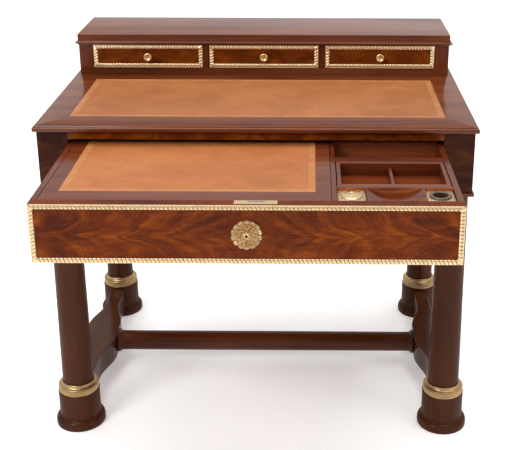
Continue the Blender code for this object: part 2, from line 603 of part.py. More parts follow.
# ---------------------------------------------------------------- main drawer, y = 0 at its front face
def drawer_carcass(drawer):
    half, inside = HALF_DRAWER, INSIDE_DRAWER
    front = board("drawer_front", (-half, 0, Z_FRONT), (half, FRONT_THICKNESS, Z_RIM), drawer,
                  "flame_mahogany")
    lock_left = LOCK_CENTRE_X - LOCK_WIDTH / 2 - GAP
    lock_right = LOCK_CENTRE_X + LOCK_WIDTH / 2 + GAP
    rear = FRONT_THICKNESS + REACH
    lock_rear = FRONT_THICKNESS - LOCK_INSET
    high = (lock_right, rear, Z_RIM + REACH)
    mortise = tool_box("lock_mortise", (lock_left, lock_rear - LOCK_DEPTH - GAP,
                                        Z_RIM - LOCK_HEIGHT - LOCK_UNDERCUT), high, drawer)
    rebate = tool_box("selvedge_rebate", (lock_left, lock_rear - SELVEDGE_DEPTH - GAP,
                                          Z_RIM - SELVEDGE_THICKNESS - GAP), high, drawer)
    keyway = tool_round("keyway", KEYHOLE_RADIUS + KEYWAY_CLEARANCE, -REACH, FRONT_THICKNESS / 2, (0, 0),
                        drawer, KEYWAY_SIDES)
    keyway.rotation_euler = (-math.pi / 2, 0, 0)
    keyway.location = (0, 0, (Z_FRONT + Z_RIM) / 2)
    combine(front, [mortise, rebate, keyway], "DIFFERENCE")

    start = Y_INSIDE_FRONT
    length = DRAWER_DEPTH - start
    left = ((-half, Z_DRAWER), (-inside, Z_DRAWER), (-inside, Z_LEDGE - LEDGE_HEIGHT),
            (-inside + LEDGE_WIDTH, Z_LEDGE - LEDGE_HEIGHT), (-inside + LEDGE_WIDTH, Z_LEDGE),
            (-inside, Z_LEDGE), (-inside, Z_RIM), (-half, Z_RIM))
    rail = prism("drawer_side_left", left, start, length, "Y", drawer, "drawer_wood")
    clear = tool_box("ledge_stop_cutter", (-inside, Y_INSIDE_BACK, Z_DRAWER - REACH),
                     (-inside + 2 * LEDGE_WIDTH, DRAWER_DEPTH + REACH, Z_RIM + REACH), drawer)
    combine(rail, [clear], "DIFFERENCE")
    board("drawer_side_right", (inside, start, Z_DRAWER), (half, DRAWER_DEPTH, Z_RIM), drawer, "drawer_wood")
    board("drawer_back", (-inside + GAP, DRAWER_DEPTH - DRAWER_BACK, Z_DRAWER + BOTTOM_RECESS),
          (inside - GAP, DRAWER_DEPTH, Z_RIM), drawer, "drawer_wood")
    board("drawer_bottom", (-inside + GAP, start, Z_DRAWER_FLOOR - DRAWER_BOTTOM),
          (inside - GAP, Y_INSIDE_BACK, Z_DRAWER_FLOOR), drawer, "drawer_wood")

    low = Z_DRAWER_FLOOR + GAP
    x0, x1 = DIVIDER_X - DIVIDER_THICKNESS / 2, DIVIDER_X + DIVIDER_THICKNESS / 2
    section = ((x0, low), (x1, low), (x1, Z_RIM), (x0, Z_RIM), (x0, Z_LEDGE), (x0 - LEDGE_WIDTH, Z_LEDGE),
               (x0 - LEDGE_WIDTH, Z_LEDGE - LEDGE_HEIGHT), (x0, Z_LEDGE - LEDGE_HEIGHT))
    prism("drawer_divider", section, start, Y_INSIDE_BACK - start, "Y", drawer, "mahogany")


def compartments(drawer):
    """Tray seat, rear well and their walls, right of the divider."""
    low = Z_DRAWER_FLOOR + GAP
    seat = Z_TRAY - GAP
    under = seat - TRAY_LEDGE_HEIGHT
    front, web = CROSS_RAIL_Y, CROSS_RAIL_Y + CROSS_RAIL_WEB
    rear = CROSS_RAIL_Y + CROSS_RAIL_THICKNESS
    section = ((front, Z_RIM), (front, seat), (front - TRAY_LEDGE, seat), (front - TRAY_LEDGE, under),
               (front, under), (front, low), (web, low), (web, under), (rear, under), (rear, Z_RIM))
    prism("cross_rail", section, COMP_LEFT, COMP_RIGHT - COMP_LEFT, "X", drawer, "mahogany")
    board("well_back", (COMP_LEFT, WELL_BACK_Y, low),
          (COMP_RIGHT, WELL_BACK_Y + WELL_BACK_THICKNESS, Z_RIM - WELL_BACK_DROP), drawer, "mahogany")


def ink_block(drawer):
    """The wood block that holds both inkwells, scooped between them for pens."""
    seat = Z_TRAY - GAP
    low = Z_RIM - INK_BLOCK_DEPTH
    section = ((Y_INSIDE_FRONT, low), (INK_BLOCK_END + TRAY_LEDGE, low),
               (INK_BLOCK_END + TRAY_LEDGE, seat),
               (INK_BLOCK_END, seat), (INK_BLOCK_END, Z_RIM), (Y_INSIDE_FRONT, Z_RIM))
    block = prism("ink_block", section, COMP_LEFT, COMP_RIGHT - COMP_LEFT, "X", drawer, "mahogany")

    floor = Z_PLATE - PLATE_THICKNESS - GAP
    left_edge = LEFT_WELL_X + PLATE_SIZE / 2 + PLATE_EDGE
    right_edge = RIGHT_WELL_X - PLATE_SIZE / 2 - PLATE_EDGE
    high = Z_RIM + REACH
    cutters = [
        tool_box("left_recess_cutter", (COMP_LEFT - REACH, 0, floor), (left_edge, INK_ZONE_END, high),
                 drawer),
        tool_box("right_recess_cutter", (right_edge, 0, floor), (COMP_RIGHT + REACH, INK_ZONE_END, high),
                 drawer),
    ]
    half = (right_edge - left_edge) / 2 - GROOVE_LAND
    radius = (half ** 2 + GROOVE_SAG ** 2) / (2 * GROOVE_SAG)
    sweep = math.asin(half / radius)
    arc = []
    for i in range(GROOVE_STEPS + 1):
        turn = sweep * (2 * i / GROOVE_STEPS - 1)
        depth = GROOVE_SAG - radius * (1 - math.cos(turn))
        arc.append((COMP_CENTRE + radius * math.sin(turn), Z_RIM - depth))
    arc += [(COMP_CENTRE + half, high), (COMP_CENTRE - half, high)]
    cutters.append(prism("groove_cutter", arc, 0, INK_ZONE_END, "Y", drawer, None))
    for side, x in (("left", LEFT_WELL_X), ("right", RIGHT_WELL_X)):
        cutters.append(tool_round("cup_bore_" + side, CUP_RADIUS + CUP_CLEARANCE, low - REACH, high,
                                  (x, PLATE_Y), drawer))
    combine(block, cutters, "DIFFERENCE")


def inkwell(side, x, drawer):
    """A square brass plate with a round cup hanging under it."""
    half = PLATE_SIZE / 2
    under = Z_PLATE - PLATE_THICKNESS
    plate = board("inkwell_" + side, (x - half, PLATE_Y - half, under), (x + half, PLATE_Y + half, Z_PLATE),
                  drawer, "brass")
    centre = (x, PLATE_Y)
    low = Z_PLATE - CUP_DEPTH
    cup = tool_round("cup_outside_" + side, CUP_RADIUS, low, under + PLATE_THICKNESS / 2, centre, drawer)
    hole = tool_round("cup_inside_" + side, CUP_RADIUS - CUP_WALL, low + CUP_WALL, Z_PLATE + REACH,
                      centre, drawer)
    combine(plate, [cup], "UNION")
    combine(plate, [hole], "DIFFERENCE")


def ink_liner(drawer):
    """The dark open pot in the right-hand inkwell."""
    outer = CUP_RADIUS - CUP_WALL - CUP_CLEARANCE
    seat = Z_PLATE + GAP
    top = seat + LINER_FLANGE_HEIGHT
    low = top - LINER_DEPTH
    profile = ((0, low + LINER_FLOOR), (LINER_HOLE_RADIUS, low + LINER_FLOOR),
               (LINER_HOLE_RADIUS, top - LINER_ROUND), (LINER_HOLE_RADIUS + LINER_ROUND, top),
               (LINER_FLANGE_RADIUS - LINER_ROUND, top), (LINER_FLANGE_RADIUS, top - LINER_ROUND),
               (LINER_FLANGE_RADIUS, seat), (outer, seat), (outer, low), (0, low))
    liner = turned("ink_liner", profile, ROUND, drawer, "ink_glass")
    liner.location = (RIGHT_WELL_X, PLATE_Y, 0)


def inkwell_lid(drawer):
    """The loose round lid of the left-hand inkwell, about its own axis."""
    body = empty("inkwell_lid_axis", (LEFT_WELL_X, PLATE_Y, Z_PLATE + GAP), drawer)
    spigot = CUP_RADIUS - CUP_WALL - CUP_CLEARANCE
    r, h = LID_RADIUS, LID_HEIGHT
    profile = ((0, h), (0.11 * r, 0.99 * h), (0.18 * r, 0.80 * h), (0.10 * r, 0.60 * h), (0.20 * r, 0.48 * h),
               (0.70 * r, 0.38 * h), (0.94 * r, 0.26 * h), (r, 0.12 * h), (r, 0), (spigot, 0),
               (spigot, -LID_SPIGOT), (0, -LID_SPIGOT))
    turned("inkwell_lid", profile, ROUND, body, "brass")


def lift_tray(drawer):
    """The loose two-part tray, which lifts out of the drawer."""
    width = COMP_RIGHT - COMP_LEFT - 2 * TRAY_CLEARANCE
    body = empty("lift_tray_axis", (COMP_CENTRE, TRAY_Y + TRAY_LENGTH / 2, Z_TRAY), drawer)
    half, reach = width / 2, TRAY_LENGTH / 2
    tray = board("lift_tray", (-half, -reach, 0), (half, reach, TRAY_HEIGHT), body, "mahogany")
    inner, end = half - TRAY_SIDE_WALL, reach - TRAY_END_WALL
    wall = TRAY_PARTITION / 2
    step = TRAY_HEIGHT - TRAY_PARTITION_DROP
    combine(tray, [
        tool_box("tray_upper_cutter", (-inner, -end, step), (inner, end, TRAY_HEIGHT + REACH), body),
        tool_box("tray_left_cutter", (-inner, -end, TRAY_FLOOR), (-wall, end, TRAY_HEIGHT + REACH / 2), body),
        tool_box("tray_right_cutter", (wall, -end, TRAY_FLOOR), (inner, end, TRAY_HEIGHT + REACH / 2), body),
    ], "DIFFERENCE")


def lock(drawer):
    """Lock case with its selvedge plate let into the drawer front's upper edge, and the bolt."""
    left, right = LOCK_CENTRE_X - LOCK_WIDTH / 2, LOCK_CENTRE_X + LOCK_WIDTH / 2
    rear = FRONT_THICKNESS - LOCK_INSET
    body = board("lock_case", (left, rear - LOCK_DEPTH, Z_RIM - LOCK_HEIGHT), (right, rear, Z_RIM),
                 drawer, "brass")
    plate = tool_box("selvedge_shape", (left, rear - SELVEDGE_DEPTH, Z_RIM - SELVEDGE_THICKNESS),
                     (right, rear - SELVEDGE_SHOULDER, Z_RIM), drawer)
    bolt_x = LOCK_CENTRE_X + BOLT_OFFSET_X
    bolt_y = rear - LOCK_DEPTH / 2
    wide, deep = BOLT_WIDTH / 2 + BOLT_CLEARANCE, BOLT_DEPTH / 2 + BOLT_CLEARANCE
    slot = tool_box("bolt_slot", (bolt_x - wide, bolt_y - deep, Z_RIM - BOLT_HEIGHT - BOLT_SLOT_SPARE),
                    (bolt_x + wide, bolt_y + deep, Z_RIM + REACH), drawer)
    keyway = tool_round("lock_keyway", KEYHOLE_RADIUS, -REACH, rear - LOCK_DEPTH / 2, (0, 0), drawer,
                        KEYWAY_SIDES)
    keyway.rotation_euler = (-math.pi / 2, 0, 0)
    keyway.location = (0, 0, (Z_FRONT + Z_RIM) / 2)
    combine(body, [plate], "UNION")
    combine(body, [slot, keyway], "DIFFERENCE")

    axis = empty("lock_bolt_axis", (bolt_x, bolt_y, Z_RIM - BOLT_DROP), drawer)
    board("lock_bolt", (-BOLT_WIDTH / 2, -BOLT_DEPTH / 2, -BOLT_HEIGHT), (BOLT_WIDTH / 2, BOLT_DEPTH / 2, 0),
          axis, "steel")


def rosette(drawer):
    """A round leaf rosette with a keyhole through its centre."""
    segments = 4 * ROSETTE_LEAVES
    rings = ((1.00, 0.12, 1.0), (0.93, 0.34, 1.0), (0.66, 0.72, 0.5), (0.46, 0.50, 0.3),
             (0.30, 1.00, 0.0), (0.14, 0.86, 0.0))
    bm = bmesh.new()
    loops = []
    flat = [(1.00, 0.0, 1.0)] + list(rings)
    for share, rise, lobed in flat:
        loop = []
        for i in range(segments):
            turn = math.tau * i / segments
            lobe = 1 - lobed * ROSETTE_LOBE * (1 - math.cos(ROSETTE_LEAVES * turn)) / 2
            radius = share * ROSETTE_RADIUS * lobe
            loop.append(bm.verts.new((radius * math.cos(turn), -rise * (ROSETTE_DEPTH - GAP),
                                      radius * math.sin(turn))))
        loops.append(loop)
    for rise in (0.80, 0.0):
        loop = []
        for i in range(segments):
            turn = math.tau * i / segments
            loop.append(bm.verts.new((KEYHOLE_RADIUS * math.cos(turn), -rise * (ROSETTE_DEPTH - GAP),
                                      KEYHOLE_RADIUS * math.sin(turn))))
        loops.append(loop)
    for here, there in zip(loops, loops[1:] + loops[:1]):
        for i in range(segments):
            j = (i + 1) % segments
            bm.faces.new((here[i], here[j], there[j], there[i]))
    obj = mesh_object("escutcheon_rosette", bm, drawer, "gilt_bronze", smooth=True)
    obj.location = (0, -GAP, (Z_FRONT + Z_RIM) / 2)


def writing_panel(drawer):
    """The leathered panel that slides back inside the main drawer."""
    left = -INSIDE_DRAWER + PANEL_CLEARANCE
    right = DIVIDER_X - DIVIDER_THICKNESS / 2 - PANEL_CLEARANCE
    body = empty("writing_panel_axis", ((left + right) / 2, Y_INSIDE_FRONT, Z_PANEL), drawer)
    half = (right - left) / 2
    top = PANEL_THICKNESS - GAP
    panel = board("writing_panel", (-half, GAP, 0), (half, PANEL_LENGTH, top), body, "mahogany")
    edge = half - PANEL_MARGIN
    near, far = PANEL_MARGIN_FRONT, PANEL_LENGTH - PANEL_MARGIN_REAR
    face = top - LEATHER_SINK
    under = face - LEATHER_THICKNESS
    combine(panel, [tool_box("panel_leather_cutter", (-edge - GAP, near - GAP, under - GAP),
                             (edge + GAP, far + GAP, PANEL_THICKNESS + REACH), body)], "DIFFERENCE")
    board("panel_leather", (-edge, near, under), (edge, far, face), body, "leather")


def main_drawer(desk):
    drawer = empty("main_drawer_axis", (0, -DRAWER_OUT, 0), desk)
    drawer_carcass(drawer)
    compartments(drawer)
    ink_block(drawer)
    inkwell("left", LEFT_WELL_X, drawer)
    inkwell("right", RIGHT_WELL_X, drawer)
    ink_liner(drawer)
    inkwell_lid(drawer)
    lift_tray(drawer)
    lock(drawer)
    rosette(drawer)
    frame = mitred_frame("drawer_moulding", 2 * HALF_DRAWER, Z_RIM - Z_FRONT, drawer, "gilt_bronze")
    frame.location = (0, -GAP, (Z_FRONT + Z_RIM) / 2)
    writing_panel(drawer)


def build():
    clear_scene()
    desk = empty("desk_axis", (0, DESK_Y, 0))
    columns(desk)
    side_stretcher("side_stretcher_left", -LEG_X, desk)
    side_stretcher("side_stretcher_right", LEG_X, desk)
    cross_stretcher(desk)
    case(desk)
    table_top(desk)
    bank(desk)
    for index, place in enumerate(SMALL_DRAWERS):
        small_drawer(place, (index - 1) * SMALL_PITCH, desk)
    main_drawer(desk)


build()
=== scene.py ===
"""Looks of a mahogany writing desk with gilt-bronze mounts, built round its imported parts.

Plain boards keep their CAD meshes and get softened edges and polished wood. Turned, carved and
moulded pieces are rebuilt finely in the places of their CAD nodes.
"""

import json
from math import asin, copysign, cos, exp, pi, radians, sin, tau

import bmesh
import bpy
import numpy as np
from mathutils import Euler, Matrix, Vector

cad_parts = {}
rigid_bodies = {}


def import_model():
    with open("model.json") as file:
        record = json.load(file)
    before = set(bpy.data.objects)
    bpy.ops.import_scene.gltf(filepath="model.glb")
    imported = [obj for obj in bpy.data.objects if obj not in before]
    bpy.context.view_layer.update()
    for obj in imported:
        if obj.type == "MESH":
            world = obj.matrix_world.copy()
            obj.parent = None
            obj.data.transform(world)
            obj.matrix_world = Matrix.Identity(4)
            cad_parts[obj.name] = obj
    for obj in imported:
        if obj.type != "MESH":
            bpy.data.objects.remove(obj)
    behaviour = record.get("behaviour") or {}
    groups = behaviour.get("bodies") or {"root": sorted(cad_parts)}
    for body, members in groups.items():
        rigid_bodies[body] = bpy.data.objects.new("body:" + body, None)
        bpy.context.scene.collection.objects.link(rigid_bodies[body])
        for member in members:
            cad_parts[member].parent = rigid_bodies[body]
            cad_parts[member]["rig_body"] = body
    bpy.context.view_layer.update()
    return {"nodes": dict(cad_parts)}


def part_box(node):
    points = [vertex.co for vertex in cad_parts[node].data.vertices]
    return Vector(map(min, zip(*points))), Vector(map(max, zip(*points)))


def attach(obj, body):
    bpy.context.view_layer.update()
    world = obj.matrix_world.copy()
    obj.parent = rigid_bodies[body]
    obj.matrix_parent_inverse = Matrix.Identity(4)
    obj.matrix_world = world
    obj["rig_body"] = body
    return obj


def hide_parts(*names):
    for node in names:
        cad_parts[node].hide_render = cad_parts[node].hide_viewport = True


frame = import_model()
NODES = frame["nodes"]
SIDES = ("left", "right")
CORNERS = ("front_left", "front_right", "rear_left", "rear_right")
PLACES = ("left", "middle", "right")

# -------------------- camera and light
CAMERA_PLACE = (0.1197, -2.3009, 1.4996)
CAMERA_PITCH = 0.3372  # below the horizon, in radians
CAMERA_YAW = 0.0064  # towards the left
CAMERA_ROLL = 0.0025
CAMERA_LENS = 71.2  # mm, on a sensor 36 mm wide
CAMERA_SHIFT = (-0.0957, -0.15)
WORLD_LEVELS = (0.35, 0.85)  # brightness in front of the desk and behind it

# -------------------- sizes, in metres
GAP = 0.0003  # between pieces that touch
SHAFT_TAPER = 0.906  # upper radius of a column over its lower one
DRUM_RADIUS = 0.0512
FOOT_HEIGHT = 0.022
EASE = 0.0004  # slight rounding of a turned piece's edges
BOARD_EDGE = 0.0006  # softened edge of a board
VENEER_EDGE = 0.0004
CARCASE_EDGE = 0.0005
METAL_EDGE = 0.00025
STRETCHER_EDGE = 0.0016
TURNED_SIDES = 96
KNOB_SIDES = 64
LID_SIDES = 144
LINER_SIDES = 72
SHAFT_STEPS = 8
DRUM_ROUND = 0.0018  # rounding of a drum's upper edge
DRUM_DRAW = 0.0004  # how far a drum draws in towards its upper edge
RING_HEIGHT = 0.006  # middle of the small ring above a foot
RING_SIZE = (0.0016, 0.0014)  # how far that ring stands out, and half its height
FOOT_ROUND = (0.003, 0.0035)  # rounding of a foot's lower edge, across and up
COLLAR_CLEARANCE = 0.0005  # collar from its shaft
NECK_WALL = 0.0018  # collar's wall at its upper edge
NECK_DROP = 0.0045  # collar's cast edge below the top of its seat
NECK_HEIGHT = 0.0034  # rolled edge at the top of a collar
COLLAR_LIP = 0.003  # step between a collar's flare and its milled band
KNURL_SHARE = 0.52  # milled band's part of a collar's height
KNURL_COUNT = 60  # waves of the milling round a collar
KNURL_ROWS = 14
KNURL_DEPTH = 0.0014
KNURL_SIDES = 12  # of the collar, for each wave
MOULDING_WIDTH = 0.0105
LEAF_PITCH = 0.008  # along the gilt mouldings
LEAF_COLUMNS = 10
LEAF_ROWS = 11
CORNER_LEAF = 0.62  # height of the leaf on a frame's corner
ROSETTE_LEAVES = 14
ROSETTE_ROWS = 64
ROSETTE_SIDES = 280
KEYHOLE_RADIUS = 0.0026
KEYHOLE_RING = 0.22  # beaded ring round the keyhole, as a share of the rosette
LID_PETALS = 12
LID_STEPS = 16  # down the lid's domed part
LID_PETAL_DEPTH = 0.0007
BOARD_FLAT = 0.035  # half length of a side stretcher's wide middle
BOARD_SWELL = 0.15  # half length of its swelling
BOARD_NARROW = 0.0195  # half width outside the swelling
HOLLOW_CLEARANCE = 0.0006  # stretcher's hollowed ends from the drums
HOLLOW_STEPS = 16
BOARD_STEPS = 48
POLE_RADIUS = 0.0265
POLE_SWELL = 0.012  # how much thicker its middle is, as a share
POLE_COLLAR_LENGTH = 0.008
POLE_FLARE_LENGTH = 0.014
CORNICE_HEIGHT = 0.0095
CORNICE_PROJECTION = 0.0065
SLAB_ROUND = 0.0014  # rounding of the bank slab's upper edge
TABLE_WIDEST = 0.0072  # height of the table's widest line above its underside
TABLE_CORNER = 0.0018  # radii of the tops' corners in plan
SLAB_CORNER = 0.0012
RECESS_CORNER = 0.0002
CORNER_STEPS = 3
LINER_HOLE_RADIUS = 0.0152
LINER_FLANGE_HEIGHT = 0.0026
LINER_FLOOR = 0.003
LINER_ROUND = 0.0013  # rounding of the flange's edges
CUP_INNER_RADIUS = 0.0188  # what the liner and the lid's spigot go into
TOOLED_LINES = ((0.004, 0.0007), (0.0115, 0.0005), (0.0135, 0.0004))  # in from the edge, and width
STAMP_INSET = 0.0078  # row of stamped dashes between the lines
STAMP_WIDTH = 0.0022
STAMP_PITCH = 0.0052
HANDLED_WIDTH = 0.035  # darker margin of a leather
PLATE_BORDER = 0.0022  # engraved line along a plate's edge
PLATE_PETALS = 14.0  # half the petals round a plate's well
PLATE_PETAL_DEPTH = 0.0042
PORE_DEPTH = 0.0001
HIDE_GRAIN_DEPTH = 0.00012
ENGRAVED_DEPTH = 0.0001
FLOOR_HALF = 6.0
LIT_POINT = Vector((0, -0.1, 0.5))

# -------------------- finishes
NOISE_SPAN = (0.3, 0.7)  # what a noise mostly stays within
WOOD_STOPS = (0.36, 0.52, 0.72)  # where a wood's three tones lie on its figure
CUT_STOPS = (0.36, 0.52, 0.68)
WOOD_SPECULAR = 0.04
WOOD_ROUGHNESS = (0.3, 0.44)
DULL_WOOD_GLOSS = 0.5  # up to this gloss a wood has the dull roughness
DULL_WOOD_ROUGHNESS = (0.48, 0.62)
COAT_WEIGHT = 0.36  # at a gloss of 1
COAT_IOR = 1.5
COAT_ROUGHNESS = 0.14
DULL_COAT_GLOSS = 0.4  # up to this gloss the coat is dull
DULL_COAT_ROUGHNESS = 0.28
CUT_GLOSS = 1.4
VENEER_GLOSS = 0.25
TABLE_LEATHER_PAINTED_SHADE = 0.84  # painted shade: the table's leather darkened to this share of the writing panel's, to tone down the strong top light on it

# -------------------- colours, linear
MAHOGANY = ((0.046, 0.009, 0.003), (0.112, 0.025, 0.007), (0.18, 0.048, 0.015))
COLUMN_WOOD = ((0.026, 0.006, 0.0016), (0.056, 0.0145, 0.0036), (0.088, 0.027, 0.0075))
FLAME = ((0.058, 0.0085, 0.0008), (0.126, 0.0205, 0.0014), (0.265, 0.06, 0.0034))
SMALL_FLAME = ((0.072, 0.0125, 0.0014), (0.142, 0.0285, 0.0024), (0.24, 0.06, 0.005))
# painted shade: the flame veneer's tones darkened for the case sides' fronts, which stand back behind the
# drawer
STILE_FLAME_PAINTED_SHADE = ((0.018, 0.0036, 0.0008), (0.042, 0.0085, 0.0014), (0.1, 0.025, 0.0036))
STRETCHER_WOOD = ((0.034, 0.007, 0.002), (0.082, 0.018, 0.0048), (0.13, 0.035, 0.01))
DRAWER_WOOD = ((0.044, 0.007, 0.0022), (0.095, 0.017, 0.0046), (0.16, 0.036, 0.01))
# painted light: a paler copy of the drawer wood, standing in for light falling on the well's back wall
WELL_WOOD_PAINTED_LIGHT = ((0.11, 0.023, 0.009), (0.23, 0.054, 0.02), (0.34, 0.096, 0.034))
# painted light: a paler copy of the drawer wood for the ink block's faces that look to the front
FRONT_PAINTED_LIGHT_WOOD = ((0.17, 0.034, 0.008), (0.33, 0.088, 0.023), (0.46, 0.15, 0.044))
LEATHER = ((0.27, 0.082, 0.02), (0.335, 0.109, 0.029), (0.395, 0.143, 0.044))
TOOLING = (0.56, 0.3, 0.11)
GILT = (0.76, 0.57, 0.34)
GILT_SATIN = (0.48, 0.335, 0.17)
GILT_RECESS = (0.25, 0.145, 0.052)
# painted light: a brighter copy of the gilt and its recess tone for the small drawers' frames, standing in
# for highlights from a bright light in front
SMALL_GILT_PAINTED_LIGHT = (0.96, 0.77, 0.51)
SMALL_GILT_RECESS_PAINTED_LIGHT = (0.43, 0.285, 0.125)
KNOB_BRASS = (0.86, 0.69, 0.37)
BRASS = (0.81, 0.59, 0.34)
BRASS_RECESS = (0.2, 0.13, 0.06)
STEEL = (0.42, 0.4, 0.37)
STEEL_RECESS = (0.12, 0.1, 0.09)
INK_GLASS = ((0.03, 0.017, 0.011), (0.095, 0.056, 0.036))
DAYLIGHT = (1.0, 0.985, 0.965, 1.0)


# -------------------- materials
class Graph:
    """A material's node tree, with a short call for each kind of node that is used here."""

    def __init__(self, name):
        self.material = bpy.data.materials.new(name)
        self.material.use_nodes = True
        self.tree = self.material.node_tree
        self.shader = self.tree.nodes["Principled BSDF"]

    def feed(self, socket, value):
        if isinstance(value, bpy.types.NodeSocket):
            self.tree.links.new(value, socket)
        else:
            socket.default_value = value

    def node(self, kind, inputs, **settings):
        made = self.tree.nodes.new("ShaderNode" + kind)
        for key, value in settings.items():
            setattr(made, key, value)
        for key, value in inputs.items():
            self.feed(made.inputs[key], value)
        return made

    def math(self, operation, a, b=0.0, c=0.0):
        return self.node("Math", {0: a, 1: b, 2: c}, operation=operation).outputs[0]

    def times(self, a, b):
        return self.math("MULTIPLY", a, b)

    def times_plus(self, a, b, c):
        return self.math("MULTIPLY_ADD", a, b, c)

    def plus(self, a, b):
        return self.math("ADD", a, b)

    def minus(self, a, b):
        return self.math("SUBTRACT", a, b)

    def larger(self, a, b):
        return self.math("MAXIMUM", a, b)

    def smaller(self, a, b):
        return self.math("MINIMUM", a, b)

    def absolute(self, a):
        return self.math("ABSOLUTE", a)

    def place(self):
        """The point in the piece's own mesh, which moves with the piece."""
        return self.node("TexCoord", {}).outputs["Object"]

    def split(self, vector):
        made = self.node("SeparateXYZ", {0: vector})
        return made.outputs[0], made.outputs[1], made.outputs[2]

    def join(self, x, y, z):
        return self.node("CombineXYZ", {0: x, 1: y, 2: z}).outputs[0]

    def scaled(self, vector, scale, offset=(0, 0, 0)):
        return self.node("Mapping", {"Vector": vector, "Scale": scale, "Location": offset}).outputs[0]

    def noise(self, vector, scale=1.0, detail=2.0, roughness=0.5, distortion=0.0):
        made = self.node("TexNoise", {"Vector": vector, "Scale": scale, "Detail": detail,
                                      "Roughness": roughness, "Distortion": distortion})
        return made.outputs["Fac"]

    def cells(self, vector, scale):
        made = self.node("TexVoronoi", {"Vector": vector, "Scale": scale}, feature="DISTANCE_TO_EDGE")
        return made.outputs["Distance"]

    def ramp(self, value, stops):
        """Colours or grey levels at given places from 0 to 1."""
        made = self.node("ValToRGB", {"Fac": value})
        stops = list(stops)
        elements = made.color_ramp.elements
        while len(elements) < len(stops):
            elements.new(0.5)
        for element, (spot, level) in zip(elements, stops):
            element.position = spot
            element.color = (*level, 1.0) if isinstance(level, tuple) else (level, level, level, 1.0)
        return made.outputs["Color"]

    def range(self, value, low, high, out_low, out_high, smooth=False):
        made = self.node("MapRange", {"Value": value, "From Min": low, "From Max": high,
                                      "To Min": out_low, "To Max": out_high},
                         interpolation_type="SMOOTHSTEP" if smooth else "LINEAR")
        return made.outputs["Result"]

    def spread(self, noise, low, high):
        """A noise's usual span, stretched over low to high."""
        return self.range(noise, *NOISE_SPAN, low, high)

    def line(self, value, target, width):
        """1 within half of width from the target, fading to 0 at width."""
        away = self.absolute(self.minus(value, target))
        return self.range(away, width * 0.5, width, 1.0, 0.0, smooth=True)

    def facing(self):
        """How much a face looks to the back, from -1 to 1."""
        return self.split(self.node("NewGeometry", {}).outputs["True Normal"])[1]

    def mix(self, factor, a, b):
        """Colour a at a factor of 0 and b at 1. The Mix node's sockets for colours are 6 and 7."""
        made = self.node("Mix", {}, data_type="RGBA")
        for index, value in ((0, factor), (6, a), (7, b)):
            self.feed(made.inputs[index], (*value, 1.0) if isinstance(value, tuple) else value)
        return made.outputs[2]

    def bump(self, height, distance, strength):
        made = self.node("Bump", {"Height": height, "Distance": distance, "Strength": strength})
        return made.outputs["Normal"]

    def surface(self, **inputs):
        for key, value in inputs.items():
            self.feed(self.shader.inputs[key.replace("_", " ")], value)
        return self.material


def polish(graph, colour, rough, normal, gloss):
    """French-polished wood: a soft sheen of its own under a clear coat."""
    coat_rough = COAT_ROUGHNESS if gloss > DULL_COAT_GLOSS else DULL_COAT_ROUGHNESS
    return graph.surface(Base_Color=colour, Roughness=rough, Normal=normal, Specular_IOR_Level=WOOD_SPECULAR,
                         Coat_Weight=COAT_WEIGHT * gloss, Coat_Roughness=coat_rough, Coat_IOR=COAT_IOR)


def wood(name, tones, grain, seed, gloss=1.0, coarse=1.0):
    """Straight-grained mahogany: long streaks, fine fibre and short dark pores along one axis."""
    graph = Graph(name)
    place = graph.place()
    offset = (seed * 1.37, seed * 2.11, seed * 0.73)

    def along(length, across):
        """Places stretched for a figure that repeats so many times a metre along and across the grain."""
        scale = [across, across, across]
        scale["XYZ".index(grain)] = length
        return graph.scaled(place, scale, offset)

    streaks = graph.noise(along(1.8, 26.0 / coarse), detail=4.0, roughness=0.55, distortion=0.7)
    clouds = graph.noise(along(3.0, 7.0))
    fibre = graph.noise(along(9.0, 330.0), detail=3.0, roughness=0.6)
    pores = graph.range(graph.noise(along(55.0, 1300.0), detail=1.0), 0.3, 0.44, 1.0, 0.0)
    tone = graph.times_plus(streaks, 0.62, graph.times(clouds, 0.24))
    tone = graph.times_plus(fibre, 0.2, tone)
    colour = graph.ramp(tone, zip(WOOD_STOPS, tones))
    colour = graph.mix(graph.times(pores, 0.45), colour, tones[0])
    rough = graph.spread(fibre, *(WOOD_ROUGHNESS if gloss > DULL_WOOD_GLOSS else DULL_WOOD_ROUGHNESS))
    height = graph.minus(graph.times(fibre, 0.5), pores)
    return polish(graph, colour, rough, graph.bump(height, PORE_DEPTH, 0.35), gloss)


def cut_wood_painted_light(name, seed):
    """Polished mahogany; the faces that look to the front, the upright walls behind the groove and the
    plates, are painted paler as painted light from the front.
    """
    graph = Graph(name)
    place = graph.place()
    facing = graph.facing()
    streaks = graph.noise(graph.scaled(place, (6.0, 60.0, 60.0), (seed, 0, 0)), detail=4.0, distortion=0.6)
    fibre = graph.noise(graph.scaled(place, (30.0, 700.0, 700.0), (0, seed, 0)), detail=3.0)
    tone = graph.times_plus(streaks, 0.75, graph.times(fibre, 0.25))
    upper, sunk = (graph.ramp(tone, zip(CUT_STOPS, tones)) for tones in (DRAWER_WOOD, FRONT_PAINTED_LIGHT_WOOD))
    # painted light: faces that look to the front take the paler tones
    colour = graph.mix(graph.range(facing, -0.85, -0.5, 1.0, 0.0, smooth=True), upper, sunk)
    rough = graph.spread(fibre, *WOOD_ROUGHNESS)
    return polish(graph, colour, rough, graph.bump(fibre, 0.00008, 0.25), CUT_GLOSS)


